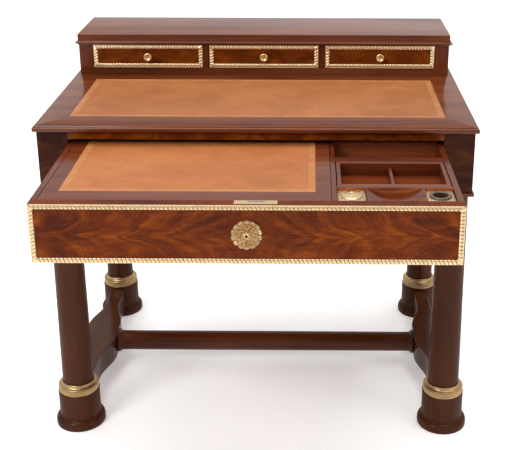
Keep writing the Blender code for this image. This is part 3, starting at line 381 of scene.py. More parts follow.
def flame(name, centre, spine, seed, tones=FLAME, figure=1.0, plume=0.085, depth=0.021):
    """Crotch-figured veneer on a front face: plumes that sweep outwards into a level spine.

    centre and spine are the spine's middle and height. figure is how strongly the plumes show; what
    is left over is a soft cloudy mottle. plume is how far they sweep, and depth how soon they turn.
    """
    graph = Graph(name)
    place = graph.place()
    x, _, z = graph.split(place)

    def drift(scale, amount, shift):
        """An uneven wander of up to half of amount, in metres."""
        level = graph.noise(graph.scaled(place, (scale, scale, 1.6 * scale), (seed, shift, seed)))
        return graph.times(graph.minus(level, 0.5), amount)

    warp = graph.plus(drift(6.0, 0.12, 0.0), drift(26.0, 0.028, 3.0))
    out = graph.absolute(graph.minus(x, centre))
    level = graph.plus(graph.minus(z, spine), drift(5.0, 0.016, 5.0))
    rise = graph.larger(level, 0.0)
    sink = graph.larger(graph.times(level, -1.0), 0.0)
    away = graph.times_plus(sink, 0.7, rise)
    fall = graph.math("EXPONENT", graph.math("DIVIDE", away, -depth))
    sweep = graph.minus(graph.plus(out, warp), graph.times(fall, plume))
    drawn = graph.times(away, 11.0)
    plumes = graph.noise(graph.join(graph.times(sweep, 30.0), drawn, seed * 3.1),
                         detail=3.0, roughness=0.55, distortion=0.6)
    rays = graph.noise(graph.join(graph.times(sweep, 190.0), graph.times(away, 24.0), seed * 1.7),
                       detail=3.0, roughness=0.6)
    clouds = graph.noise(graph.scaled(place, (13.0, 13.0, 30.0), (seed * 2.3, 0, 0)), detail=4.0,
                         roughness=0.6, distortion=0.8)
    feather = graph.noise(graph.scaled(place, (24.0, 24.0, 240.0), (0, seed, 0)), detail=3.0, distortion=0.5)
    fibre = graph.noise(graph.scaled(place, (60.0, 60.0, 900.0), (seed, 0, 0)))
    strength = graph.range(sink, 0.0, 0.02, 0.46 * figure, 0.26 * figure, smooth=True)
    shown = graph.times(graph.minus(plumes, 0.5), strength)
    shown = graph.times_plus(graph.minus(rays, 0.5), 0.14 * figure + 0.04, shown)
    shown = graph.times_plus(graph.minus(clouds, 0.5), 0.62 - 0.2 * figure, shown)
    feathers = graph.times(graph.minus(feather, 0.5), graph.times_plus(fall, 0.2 * figure, 0.06))
    tone = graph.plus(graph.times_plus(fibre, 0.08, 0.46), graph.plus(shown, feathers))
    colour = graph.ramp(tone, zip((0.38, 0.5, 0.66), tones))
    pores = graph.range(graph.noise(graph.scaled(place, (260.0, 260.0, 1100.0)), detail=1.0),
                        0.3, 0.42, 0.35, 0.0)
    colour = graph.mix(pores, colour, tones[0])
    grain = graph.noise(graph.scaled(place, (2.0, 5.0, 42.0), (seed, 0, 0)), detail=4.0, distortion=0.5)
    plain = graph.ramp(graph.times_plus(fibre, 0.2, graph.times(grain, 0.8)),
                       ((0.32, tones[0]), (0.48, tones[1]), (0.7, MAHOGANY[1])))
    facing = graph.absolute(graph.facing())
    colour = graph.mix(graph.range(facing, 0.3, 0.6, 0.0, 1.0), plain, colour)
    rough = graph.spread(rays, 0.28, 0.4)
    return polish(graph, colour, rough, graph.bump(rays, PORE_DEPTH, 0.2), VENEER_GLOSS)


def leather(name, node, painted_shade=1.0):
    """Hide with a fine grain, mottled by handling, and gilt tooled lines round its edge."""
    graph = Graph(name)
    # painted shade: the factor darkens every tone of the leather
    dark, usual, pale = (tuple(channel * painted_shade for channel in tone) for tone in LEATHER)
    place = graph.place()
    x, y, _ = graph.split(place)
    low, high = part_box(node)
    middle, half = (low + high) / 2, (high - low) / 2
    side_x = graph.minus(half.x, graph.absolute(graph.minus(x, middle.x)))
    side_y = graph.minus(half.y, graph.absolute(graph.minus(y, middle.y)))
    edge = graph.smaller(side_x, side_y)

    lines = 0.0
    for inset, width in TOOLED_LINES:
        lines = graph.larger(lines, graph.line(edge, inset, width))
    along = graph.math("SINE", graph.times(graph.plus(x, y), tau / STAMP_PITCH))
    stamp = graph.times(graph.line(edge, STAMP_INSET, STAMP_WIDTH), graph.range(along, -0.1, 0.5, 0.0, 1.0))
    tooled = graph.larger(lines, graph.times(stamp, 0.75))
    worn = graph.noise(place, scale=38.0, detail=3.0)
    tooled = graph.times(tooled, graph.range(worn, 0.35, 0.6, 0.35, 0.95))

    mottle = graph.noise(place, scale=7.0, detail=5.0, roughness=0.62, distortion=0.4)
    speckle = graph.noise(place, scale=230.0)
    tone = graph.times_plus(mottle, 0.75, graph.times(speckle, 0.25))
    colour = graph.ramp(tone, ((0.34, dark), (0.5, usual), (0.68, pale)))
    handled = graph.range(edge, 0.0, HANDLED_WIDTH, 0.3, 0.0, smooth=True)
    colour = graph.mix(handled, colour, dark)
    colour = graph.mix(tooled, colour, TOOLING)
    grain = graph.smaller(graph.cells(place, 620.0), 0.16)
    crease = graph.noise(place, scale=95.0, detail=4.0, roughness=0.6)
    height = graph.times_plus(crease, 0.7, graph.times(grain, 3.0))
    height = graph.minus(height, graph.times(tooled, 1.2))
    rough = graph.minus(graph.spread(crease, 0.44, 0.58), graph.times(tooled, 0.12))
    normal = graph.bump(height, HIDE_GRAIN_DEPTH, 0.5)
    return graph.surface(Base_Color=colour, Roughness=rough, Normal=normal, Specular_IOR_Level=0.3)


def metal(name, bright, recess, rough, relief=False, cloudiness=60.0):
    """Cast and chased metal, darker where the relief is low, with a faint uneven polish."""
    graph = Graph(name)
    place = graph.place()
    cloud = graph.noise(place, scale=cloudiness, detail=4.0, roughness=0.6)
    fine = graph.noise(place, scale=900.0)
    dirt = graph.range(cloud, 0.35, 0.75, 0.0, 0.3)
    if relief:
        level = graph.node("Attribute", {}, attribute_name="relief").outputs["Fac"]
        low = graph.range(level, 0.08, 0.5, 0.8, 0.0, smooth=True)
        dirt = graph.larger(dirt, low)
    colour = graph.mix(dirt, bright, recess)
    finish = graph.times_plus(dirt, 0.3, graph.spread(fine, rough - 0.05, rough + 0.07))
    return graph.surface(Base_Color=colour, Roughness=finish, Metallic=1.0,
                         Normal=graph.bump(graph.plus(cloud, fine), 0.00005, 0.35))


def engraved(name, node):
    """A brass plate engraved with a border, scrolls and a ring of petals round its well."""
    graph = Graph(name)
    place = graph.place()
    x, y, _ = graph.split(place)
    low, high, centre = middle_of(node)
    half = (high.x - low.x) / 2
    dx = graph.minus(x, centre.x)
    dy = graph.minus(y, centre.y)
    edge = graph.minus(half, graph.larger(graph.absolute(dx), graph.absolute(dy)))
    radius = graph.math("SQRT", graph.plus(graph.times(dx, dx), graph.times(dy, dy)))
    turn = graph.math("ARCTAN2", dy, dx)

    lobes = graph.absolute(graph.math("SINE", graph.times(turn, PLATE_PETALS)))
    petals = graph.line(radius, graph.plus(graph.times(lobes, PLATE_PETAL_DEPTH), half * 0.86), 0.0005)
    scrolls = graph.absolute(graph.math("SINE", graph.times_plus(radius, 2400.0, graph.times(turn, 12.0))))
    field = graph.range(edge, PLATE_BORDER, PLATE_BORDER + 0.0004, 0.0, 1.0)
    hatch = graph.times(graph.range(scrolls, 0.0, 0.45, 0.8, 0.0), field)
    cut = graph.larger(graph.larger(petals, hatch),
                       graph.larger(graph.line(edge, 0.001, 0.0003), graph.line(edge, PLATE_BORDER, 0.0003)))
    cloud = graph.noise(place, scale=140.0, detail=4.0)
    tarnish = graph.range(cloud, 0.35, 0.7, 0.0, 0.35)
    colour = graph.mix(graph.times(cut, 0.75), graph.mix(tarnish, BRASS, BRASS_RECESS), BRASS_RECESS)
    rough = graph.spread(cloud, 0.28, 0.44)
    normal = graph.bump(graph.minus(cloud, graph.times(cut, 4.0)), ENGRAVED_DEPTH, 0.6)
    return graph.surface(Base_Color=colour, Roughness=rough, Metallic=1.0, Normal=normal)


def glazed(name):
    """Dark glass stained by ink, for the open pot."""
    graph = Graph(name)
    place = graph.place()
    stain = graph.noise(place, scale=110.0, detail=4.0)
    colour = graph.ramp(stain, ((0.35, INK_GLASS[0]), (0.7, INK_GLASS[1])))
    return graph.surface(Base_Color=colour, Roughness=graph.spread(stain, 0.16, 0.34),
                         Coat_Weight=0.3, Coat_Roughness=0.08)


# -------------------- mesh helpers
def new_object(name, verts, faces, smooth=True, angle=35):
    mesh = bpy.data.meshes.new(name)
    mesh.from_pydata([tuple(v) for v in verts], [], faces)
    mesh.update()
    bm = bmesh.new()
    bm.from_mesh(mesh)
    bmesh.ops.recalc_face_normals(bm, faces=bm.faces)
    bm.to_mesh(mesh)
    bm.free()
    if smooth:
        mesh.shade_smooth()
        mesh.set_sharp_from_angle(angle=radians(angle))
    return linked(name, mesh)


def linked(name, data):
    """A new object of a mesh, light or camera, in the scene."""
    obj = bpy.data.objects.new(name, data)
    bpy.context.scene.collection.objects.link(obj)
    return obj


def band(lower, upper, count):
    """Faces between two closed rings of points, given where each starts."""
    following = [(i + 1) % count for i in range(count)]
    return [(lower + i, lower + j, upper + j, upper + i) for i, j in enumerate(following)]


def stand_in(piece, node, material):
    """Show a new piece in a CAD node's place, on the same body."""
    piece.data.materials.append(material)
    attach(piece, NODES[node]["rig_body"])
    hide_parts(node)


def soften(obj, width, segments=2, angle=40):
    """Round the edges that turn by more than an angle, in degrees."""
    modifier = obj.modifiers.new("edges", "BEVEL")
    modifier.width = width
    modifier.segments = segments
    modifier.limit_method = "ANGLE"
    modifier.angle_limit = radians(angle)


def dress(node, material, edge=BOARD_EDGE):
    """Give a CAD node its material and softened edges."""
    obj = NODES[node]
    obj.data.materials.clear()
    obj.data.materials.append(material)
    if edge:
        soften(obj, edge)


def arc(centre, radius, start, stop, steps):
    """Points on an arc, in degrees, as (across, up) pairs."""
    points = []
    for i in range(steps + 1):
        turn = radians(start + (stop - start) * i / steps)
        points.append((centre[0] + radius[0] * cos(turn), centre[1] + radius[1] * sin(turn)))
    return points


def lathe(name, profile, sides=TURNED_SIDES, closed=False, wobble=None):
    """Turn (radius, height) points about Z. Radius 0 closes an end; closed joins last to first.

    wobble(row, turn) is how much to take off the radius at a point of the profile and a turn.
    """
    verts, rings = [], []
    for row, (radius, height) in enumerate(profile):
        if radius == 0:
            rings.append([len(verts)])
            verts.append((0.0, 0.0, height))
            continue
        ring = []
        for i in range(sides):
            turn = tau * i / sides
            r = radius - (wobble(row, turn) if wobble else 0.0)
            ring.append(len(verts))
            verts.append((r * cos(turn), r * sin(turn), height))
        rings.append(ring)
    faces = []
    pairs = list(zip(rings, rings[1:]))
    if closed:
        pairs.append((rings[-1], rings[0]))
    for lower, upper in pairs:
        for i in range(sides):
            j = (i + 1) % sides
            if len(lower) == 1:
                faces.append((lower[0], upper[j], upper[i]))
            elif len(upper) == 1:
                faces.append((lower[i], lower[j], upper[0]))
            else:
                faces.append((lower[i], lower[j], upper[j], upper[i]))
    return new_object(name, verts, faces)


def moved(obj, place, turn=(0, 0, 0)):
    """Bake a place and a turn into the mesh, so that the piece keeps the frame's coordinates."""
    obj.data.transform(Matrix.Translation(place) @ Euler(turn).to_matrix().to_4x4())
    return obj


def turned_piece(name, profile, node, slot, material, place, turn=(0, 0, 0), **shape):
    """Turn a piece, put it in its place and show it for its CAD node."""
    stand_in(moved(lathe(name, profile, **shape), place, turn), node, material)


def middle_of(node):
    low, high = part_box(node)
    return low, high, (low + high) / 2


def level_in(node, share):
    """A height at a share of the way up a node."""
    low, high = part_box(node)
    return low.z + share * (high.z - low.z)


# -------------------- columns and stretchers
def columns():
    for index, corner in enumerate(CORNERS):
        shaft, drum, collar = ("leg_%s_%s" % (part, corner) for part in ("shaft", "base", "collar"))
        wood_here = wood("column_%s_wood" % corner, COLUMN_WOOD, "Z", 11.0 + index * 3.3,
                         gloss=0.45, coarse=1.6)

        low, high, middle = middle_of(shaft)
        foot = (high.x - low.x) / 2
        profile = [(0, low.z), (foot - EASE, low.z), (foot, low.z + EASE)]
        for i in range(1, SHAFT_STEPS + 1):
            share = i / SHAFT_STEPS
            profile.append((foot * (1 + (SHAFT_TAPER - 1) * share), low.z + (high.z - low.z) * share))
        profile.append((0, high.z))
        axis = (middle.x, middle.y, 0)
        turned_piece("column_shaft_" + corner, profile, shaft, "mahogany", wood_here, axis)

        low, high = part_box(drum)
        profile = drum_profile((high.x - low.x) / 2, high.z)
        turned_piece("column_base_" + corner, profile, drum, "mahogany", wood_here, axis)

        low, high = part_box(collar)
        profile, first = collar_profile(foot + COLLAR_CLEARANCE, (high.x - low.x) / 2, low.z,
                                        high.z - NECK_DROP)

        def knurl(row, turn):
            """Two crossing spirals of grooves on the milled band's rows."""
            share = (row - first) / KNURL_ROWS
            if not 0 <= share <= 1:
                return 0.0
            twist = 2.5 * pi * share
            dips = abs(cos(KNURL_COUNT * turn + twist) * cos(KNURL_COUNT * turn - twist))
            return KNURL_DEPTH * (1 - dips) * sin(pi * share) ** 0.5

        turned_piece("column_collar_" + corner, profile, collar, "gilt_bronze", GILT_PLAIN, axis,
                     sides=KNURL_SIDES * KNURL_COUNT, closed=True, wobble=knurl)


def drum_profile(wide, top):
    """From a drum's top down over its rounded edge, the small ring and the foot."""
    edge = DRUM_RADIUS - DRUM_DRAW - DRUM_ROUND
    profile = [(0, top), (edge, top)]
    profile += arc((edge, top - DRUM_ROUND), (DRUM_ROUND, DRUM_ROUND), 90, 0, 4)
    profile += [(DRUM_RADIUS - 0.0006, FOOT_HEIGHT + 0.03), (DRUM_RADIUS, FOOT_HEIGHT + 0.0075)]
    profile += arc((DRUM_RADIUS, FOOT_HEIGHT + RING_HEIGHT), RING_SIZE, 90, -90, 6)
    profile += [(DRUM_RADIUS + 0.0004, FOOT_HEIGHT + 0.003)]
    inner = DRUM_RADIUS + 0.0008
    profile += arc((inner, FOOT_HEIGHT * 0.5), (wide - inner, FOOT_HEIGHT * 0.56), 82, 0, 8)
    profile += arc((wide - FOOT_ROUND[0], FOOT_ROUND[1]), FOOT_ROUND, 0, -90, 5)
    return profile + [(0, 0)]


def collar_profile(bore, wide, bottom, top):
    """Up a collar's bore, over its rolled neck, and down its flare, bead and milled band.

    The second result is the row of the profile where the milled band starts.
    """
    tall = top - bottom
    neck = bore + NECK_WALL
    milled = bottom + KNURL_SHARE * tall
    profile = [(bore, bottom), (bore, top)]
    profile += arc((neck - 0.0006, top - 0.0014), (0.0018, 0.0014), 90, -60, 5)
    flare = wide - COLLAR_LIP - neck
    fall = (1 - KNURL_SHARE) * tall - 2 * NECK_HEIGHT
    profile += [(neck - 0.0004 + flare * (1 - cos(turn)) ** 1.3, top - NECK_HEIGHT - fall * sin(turn))
                for turn in map(radians, range(0, 91, 15))]
    profile += [(wide - 0.0034, milled + 0.0032)]
    profile += arc((wide - 0.0018, milled + 0.0016), (0.0017, 0.0015), 100, -80, 6)
    profile += [(wide - 0.0016, milled - 0.0002)]
    first = len(profile)
    profile += [(wide - 0.0001, milled - EASE - (milled - bottom - 2 * EASE) * i / KNURL_ROWS)
                for i in range(KNURL_ROWS + 1)]
    return profile + [(wide - 0.0008, bottom)], first


def side_stretchers():
    """Boards hollowed round the drums at their ends, with a swelling middle and eased edges."""
    for place, seed in zip(SIDES, (31.0, 37.0)):
        node = "side_stretcher_" + place
        low, high, middle = middle_of(node)
        wide = (high.x - low.x) / 2
        drums = [middle_of("leg_base_%s_%s" % (end, place))[2].y for end in ("front", "rear")]
        reach = (drums[1] - drums[0]) / 2
        hollow = DRUM_RADIUS + HOLLOW_CLEARANCE
        turn_limit = asin(BOARD_NARROW / hollow)
        outline = []
        for i in range(HOLLOW_STEPS + 1):
            turn = turn_limit * (2 * i / HOLLOW_STEPS - 1)
            outline.append((hollow * sin(turn), reach - hollow * cos(turn)))
        for i in range(BOARD_STEPS + 1):
            s = BOARD_SWELL * (1 - 2 * i / BOARD_STEPS)
            share = min(max((abs(s) - BOARD_FLAT) / (BOARD_SWELL - BOARD_FLAT), 0.0), 1.0)
            outline.append((BOARD_NARROW + (wide - BOARD_NARROW) * (1 + cos(pi * share)) / 2, s))
        outline += [(-a, -b) for a, b in outline]
        verts = [(a, b, z) for z in (low.z, high.z) for a, b in outline]
        count = len(outline)
        faces = [tuple(range(count)), tuple(range(count, 2 * count))]
        faces += band(0, count, count)
        piece = moved(new_object("stretcher_board_" + place, verts, faces), (middle.x, middle.y, 0))
        stand_in(piece, node, wood("stretcher_%s_wood" % place, COLUMN_WOOD, "Y", seed))
        soften(piece, STRETCHER_EDGE, 3, 50)


def pole():
    """The turned cross stretcher, with a collar and a flare at each end."""
    low, high, middle = middle_of("cross_stretcher")
    half, collar = (high.x - low.x) / 2, (high.z - low.z) / 2
    shoulder = half - POLE_COLLAR_LENGTH
    start = shoulder - POLE_FLARE_LENGTH
    end = [(0, half), (collar - 0.001, half)]
    end += arc((collar - 0.003, half - POLE_COLLAR_LENGTH / 2), (0.003, POLE_COLLAR_LENGTH / 2), 80, -80, 8)
    end += [(collar - 0.0034, shoulder - 0.0006)]
    end += [(POLE_RADIUS + (collar - 0.004 - POLE_RADIUS) * (1 - sin(turn)),
             shoulder - 0.001 - (shoulder - start) * (1 - cos(turn)))
            for turn in map(radians, range(15, 91, 15))]
    end += [(POLE_RADIUS * (1 + POLE_SWELL * i / 4), start * (1 - i / 4)) for i in range(1, 4)]
    profile = end + [(POLE_RADIUS * (1 + POLE_SWELL), 0.0)] + [(r, -h) for r, h in reversed(end)]
    turned_piece("stretcher_pole", profile, "cross_stretcher", "mahogany",
                 wood("pole_wood", STRETCHER_WOOD, "X", 41.0, coarse=1.4), middle, (0, pi / 2, 0))


# -------------------- moulded tops
def rounded_loop(half, front, back, height, radius):
    """A rectangle with small round corners, as points in order."""
    points = []
    spots = ((half, back, 0), (-half, back, 90), (-half, front, 180), (half, front, 270))
    for x, y, start in spots:
        inner = (x - copysign(radius, x), y - radius if y == back else y + radius)
        points += [(a, b, height) for a, b in arc(inner, (radius, radius), start, start + 90, CORNER_STEPS)]
    return points


def moulded_board(name, loops, recess=()):
    """Loft loops from the lowest to the highest, and on into the sunk field of the upper face."""
    loops = [*loops, *recess]
    verts = [point for loop in loops for point in loop]
    count = len(loops[0])
    top = len(verts) - count
    faces = [tuple(reversed(range(count)))]
    for start in range(0, top, count):
        faces += band(start, start + count, count)
    faces.append(tuple(range(top, top + count)))
    return new_object(name, verts, faces)


def table_top():
    """The table, with a rounded edge that steps back above its widest line, sunk for its leather."""
    low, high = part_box("desk_top")
    tall = high.z - low.z
    shape = [(0.0035, 0.0)]  # how far in and how far up
    shape += [(0.0035 * (1 - sin(turn)), 0.0025 * (1 - cos(turn)))
              for turn in map(radians, range(20, 91, 14))]
    shape += [(0.0, TABLE_WIDEST)]
    shape += [(0.003 * (1 - cos(turn)), TABLE_WIDEST + 0.0038 * sin(turn))
              for turn in map(radians, range(15, 91, 15))]
    shape += [(0.0055, tall - 0.0026), (0.0062, tall - 0.001), (0.0066, tall - 0.0003), (0.0072, tall)]
    loops = [rounded_loop(high.x - inset, low.y + inset, high.y - inset, low.z + up, TABLE_CORNER)
             for inset, up in shape]
    inner_low, inner_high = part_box("top_leather")
    half, front, back = inner_high.x + GAP, inner_low.y - GAP, inner_high.y + GAP
    recess = [rounded_loop(half, front, back, height, RECESS_CORNER)
              for height in (high.z, inner_low.z - GAP)]
    stand_in(moulded_board("table_top", loops, recess), "desk_top",
             wood("table_top_wood", MAHOGANY, "X", 3.0, 1.3))


def bank_top():
    """The bank's slab over its cornice, a fillet between two hollows; the back is flat."""
    low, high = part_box("bank_top")
    tall = high.z - low.z
    deep, step = CORNICE_PROJECTION, CORNICE_HEIGHT
    turns = [radians(a) for a in range(15, 91, 15)]
    shape = [(0.85 * deep, 0.0), (0.85 * deep, 0.08 * step)]
    shape += [(deep * (0.85 - 0.75 * (1 - cos(a))), step * (0.08 + 0.34 * sin(a))) for a in turns]
    shape += [(0.0, 0.47 * step), (0.0, 0.6 * step), (0.05 * deep, 0.66 * step)]
    shape += [(deep * (0.05 + 0.95 * sin(a)), step * (0.66 + 0.34 * (1 - cos(a)))) for a in turns]
    shape += [(deep, tall - SLAB_ROUND)]
    shape += [(deep + SLAB_ROUND * (1 - cos(turn)), tall - SLAB_ROUND * (1 - sin(turn)))
              for turn in map(radians, range(30, 91, 30))]
    loops = []
    for inset, up in shape:
        rear = max(inset - deep, 0.0)
        loops.append(rounded_loop(high.x - inset, low.y + inset, high.y - rear, low.z + up, SLAB_CORNER))
    stand_in(moulded_board("bank_slab", loops), "bank_top",
             wood("bank_slab_wood", MAHOGANY, "X", 7.0, 1.6))


# -------------------- gilt mouldings
def leaf_relief(along, across):
    """Height from 0 to 1 of a leaf border: along in leaves, across from the outer edge to the inner."""
    lean = np.mod(along + 0.6 * across, 1.0)
    away = np.abs(lean - 0.5) * 2
    share = np.clip((across - 0.1) / 0.87, 0.0, 1.0)
    body = np.sqrt(np.clip(1 - (away / 0.9) ** 2, 0.0, 1.0))
    crest = 0.66 + 0.34 * np.sin(pi * np.clip(1.25 * share - 0.22, 0.0, 1.0))
    vein = 0.2 * np.exp(-((away / 0.13) ** 2)) * (1 - share)
    leaf = 0.1 + 0.9 * body * crest - vein
    fillet = 0.45 + 0.2 * np.sqrt(np.clip(1 - ((across - 0.05) / 0.06) ** 2, 0.0, 1.0))
    height = np.where(across < 0.11, fillet, leaf)
    return np.where(across > 0.97, 0.2, height)


def leaf_frame(name, node, material):
    """Four straight runs of leaves and four corner blocks, joined into one closed frame."""
    low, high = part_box(node)
    back, rise = high.y, high.y - low.y
    size = (high.x - low.x, high.z - low.z)
    rows = np.linspace(0.0, 1.0, LEAF_ROWS)
    verts, levels, faces, index = [], [], [], {}

    def vertex(a, b, level):
        """a from the left and b from the bottom of the frame; shared by neighbouring patches."""
        key = (round(a * 1e6), round(b * 1e6))
        if key not in index:
            index[key] = len(verts)
            verts.append((low.x + a, back - level * rise, low.z + b))
            levels.append(level)
        return index[key]

    def turned(side, s, v):
        """Distance along a side and inward from it, as a place in the frame."""
        length, tall = size
        if side == 0:
            return s, v
        if side == 1:
            return length - v, s
        if side == 2:
            return length - s, tall - v
        return v, tall - s

    def patch(grid):
        for line, after in zip(grid, grid[1:]):
            faces.extend((line[j], after[j], after[j + 1], line[j + 1]) for j in range(LEAF_ROWS - 1))

    for side in range(4):
        run = size[side % 2] - 2 * MOULDING_WIDTH
        leaves = round(run / LEAF_PITCH)
        columns_here = leaves * LEAF_COLUMNS
        along = np.arange(columns_here + 1) / LEAF_COLUMNS
        height = leaf_relief(along[:, None], rows[None, :])
        spots = MOULDING_WIDTH + along / leaves * run
        patch([[vertex(*turned(side, spots[i], rows[j] * MOULDING_WIDTH), height[i, j])
                for j in range(LEAF_ROWS)] for i in range(columns_here + 1)])
        edge = leaf_relief(np.zeros(LEAF_ROWS), rows)
        block = []
        for i in range(LEAF_ROWS):
            line = []
            for j in range(LEAF_ROWS):
                a, b = rows[i], rows[j]
                mitre = sin(pi * min(a, b)) * max(0.0, 1 - abs(a - b) * 2.4) * (a < 1) * (b < 1)
                line.append(vertex(*turned(side, a * MOULDING_WIDTH, b * MOULDING_WIDTH),
                                   min(edge[min(i, j)] + CORNER_LEAF * mitre, 1.0)))
            block.append(line)
        patch(block)

    mesh = bpy.data.meshes.new(name)
    mesh.from_pydata(verts, [], faces)
    bm = bmesh.new()
    bm.from_mesh(mesh)
    layer = bm.verts.layers.float.new("relief")
    bm.verts.ensure_lookup_table()
    for vert, level in zip(bm.verts, levels):
        vert[layer] = level
    rim = [edge for edge in bm.edges if edge.is_boundary]
    grown = bmesh.ops.extrude_edge_only(bm, edges=rim)["geom"]
    lower = [item for item in grown if isinstance(item, bmesh.types.BMVert)]
    for vert in lower:
        vert.co.y = back
    back_edges = [item for item in grown if isinstance(item, bmesh.types.BMEdge) and item.is_boundary]
    bmesh.ops.triangle_fill(bm, edges=back_edges, use_dissolve=False)
    bmesh.ops.recalc_face_normals(bm, faces=bm.faces)
    bm.to_mesh(mesh)
    bm.free()
    mesh.shade_smooth()
    mesh.set_sharp_from_angle(angle=radians(60))
    stand_in(linked(name, mesh), node, material)


# -------------------- round relief
def round_relief(name, outline, height, hole, rows, sides):
    """A round casting about Z: outline(turn) is its edge, height(share, turn) its face, hole its bore."""
    verts, levels, faces = [], [], []
    shares = np.linspace(0.0, 1.0, rows)
    for share in shares:
        for i in range(sides):
            turn = tau * i / sides
            edge = outline(turn)
            radius = hole + (edge - hole) * share
            up = height(radius / edge, turn)
            verts.append((radius * cos(turn), radius * sin(turn), up))
            levels.append(up)

    def join(a, b):
        return [(a + i, b + i, b + (i + 1) % sides, a + (i + 1) % sides) for i in range(sides)]

    for row in range(rows - 1):
        faces += join(row * sides, (row + 1) * sides)
    for source in ((rows - 1) * sides, 0):
        base = len(verts)
        verts += [(x, y, 0.0) for x, y, _ in verts[source:source + sides]]
        levels += [0.0] * sides
        faces += join(source, base)
    faces += join(rows * sides, (rows + 1) * sides)
    obj = new_object(name, verts, faces, angle=70)
    layer = obj.data.attributes.new("relief", "FLOAT", "POINT")
    tallest = max(levels)
    layer.data.foreach_set("value", np.array(levels, np.float32) / tallest)
    return obj


def rosette():
    """Four layers of plain leaves round a keyhole with a beaded ring."""
    low, high, middle = middle_of("escutcheon_rosette")
    radius, depth = (high.x - low.x) / 2, high.y - low.y

    def petal(turn, count, shift=0.0):
        """0 on the middle of a leaf and 1 between two leaves."""
        return abs((turn / tau * count + shift) % 1.0 - 0.5) * 2

    def outline(turn):
        away = petal(turn, ROSETTE_LEAVES)
        notch = 0.034 * abs(sin(turn * ROSETTE_LEAVES * 1.5))
        uneven = 0.01 * (1 + sin(turn * 3 + 0.6) * cos(turn * 5 - 0.4))
        return radius * (1 - 0.055 * away ** 2 - notch - uneven)

    layers = (  # leaves, turn, reach, how far the tips draw in, height inside, height at the tip
        (ROSETTE_LEAVES, 0.0, 1.1, 0.0, 0.3, 0.56), (ROSETTE_LEAVES, 0.5, 0.78, 0.22, 0.38, 0.76),
        (9, 0.2, 0.56, 0.24, 0.48, 0.9), (7, 0.5, 0.36, 0.2, 0.66, 0.98))

    def height(share, turn):
        best = 0.0
        for count, shift, reach, draw, inside, tip in layers:
            away = petal(turn, count, shift)
            edge = reach * (1 - draw * away ** 2)
            if share > edge:
                continue
            along = share / edge
            curl = inside + (tip - inside) * along ** 2
            crown = 1 - 0.5 * away ** 2 - 0.26 * exp(-(away / 0.16) ** 2)
            lobes = 0.09 * cos(turn * count * 5 + 9 * along) * along
            best = max(best, curl * crown + lobes)
        if share < KEYHOLE_RING:
            beads = abs(sin(turn * 4)) ** 0.5
            best = max(best, 0.66 + 0.26 * beads * sin(share / KEYHOLE_RING * pi) ** 0.5)
        if share > 0.97:
            best *= 0.55
        return max(min(best, 1.0), 0.1) * depth

    piece = round_relief("keyhole_rosette", outline, height, KEYHOLE_RADIUS, ROSETTE_ROWS, ROSETTE_SIDES)
    moved(piece, (middle.x, high.y, middle.z), (pi / 2, 0, 0))
    stand_in(piece, "escutcheon_rosette", GILT_RELIEF)


# -------------------- knobs, lid and liner
def knobs():
    """Turned knobs with a dished face; r is their radius and d how far they stand out."""
    for place in PLACES:
        node = "small_knob_" + place
        low, high, middle = middle_of(node)
        r, d = (high.x - low.x) / 2, high.y - low.y
        profile = [(0, 0.8 * d), (0.3 * r, 0.8 * d), (0.5 * r, 0.83 * d), (0.62 * r, 0.9 * d)]
        profile += arc((0.8 * r, 0.9 * d), (0.2 * r, 0.1 * d), 150, -50, 10)
        profile += [(0.7 * r, 0.68 * d), (0.44 * r, 0.56 * d), (0.34 * r, 0.46 * d), (0.32 * r, 0.3 * d),
                    (0.38 * r, 0.2 * d)]
        profile += arc((0.56 * r, 0.1 * d), (0.12 * r, 0.07 * d), 90, -20, 5)
        profile += [(0.67 * r, 0), (0, 0)]
        turned_piece("drawer_knob_" + place, profile, node, "brass", BRASS_KNOB,
                     (middle.x, high.y, middle.z), (pi / 2, 0, 0), sides=KNOB_SIDES)


def lid():
    """A domed lid with shallow petals and a knop, on a spigot that goes into the cup."""
    low, high, middle = middle_of("inkwell_lid")
    r = (high.x - low.x) / 2
    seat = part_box("inkwell_left")[1].z + GAP
    tall = high.z - seat
    spigot = low.z - seat
    profile = [(0, spigot), (CUP_INNER_RADIUS - EASE, spigot), (CUP_INNER_RADIUS, spigot + EASE),
               (CUP_INNER_RADIUS, 0), (r - EASE, 0), (r, EASE)]
    profile += [(r, 0.1 * tall), (0.965 * r, 0.17 * tall), (0.93 * r, 0.17 * tall), (0.9 * r, 0.24 * tall)]
    dome = len(profile)
    for i in range(LID_STEPS + 1):
        share = i / LID_STEPS
        profile.append((r * (0.88 - 0.5 * share), tall * (0.24 + 0.2 * sin(pi / 2 * share))))
    profile += [(0.34 * r, 0.4 * tall), (0.3 * r, 0.42 * tall), (0.24 * r, 0.5 * tall),
                (0.12 * r, 0.56 * tall), (0.1 * r, 0.64 * tall)]
    profile += arc((0.1 * r, 0.82 * tall), (0.09 * r, 0.18 * tall), -70, 90, 9)
    profile += [(0, tall)]

    def petals(row, turn):
        share = (row - dome) / LID_STEPS
        if not 0 < share < 1:
            return 0.0
        return LID_PETAL_DEPTH * sin(pi * share) * abs(sin(turn * LID_PETALS / 2)) ** 3

    turned_piece("well_lid", profile, "inkwell_lid", "brass", BRASS_PLAIN, (middle.x, middle.y, seat),
                 sides=LID_SIDES, wobble=petals)


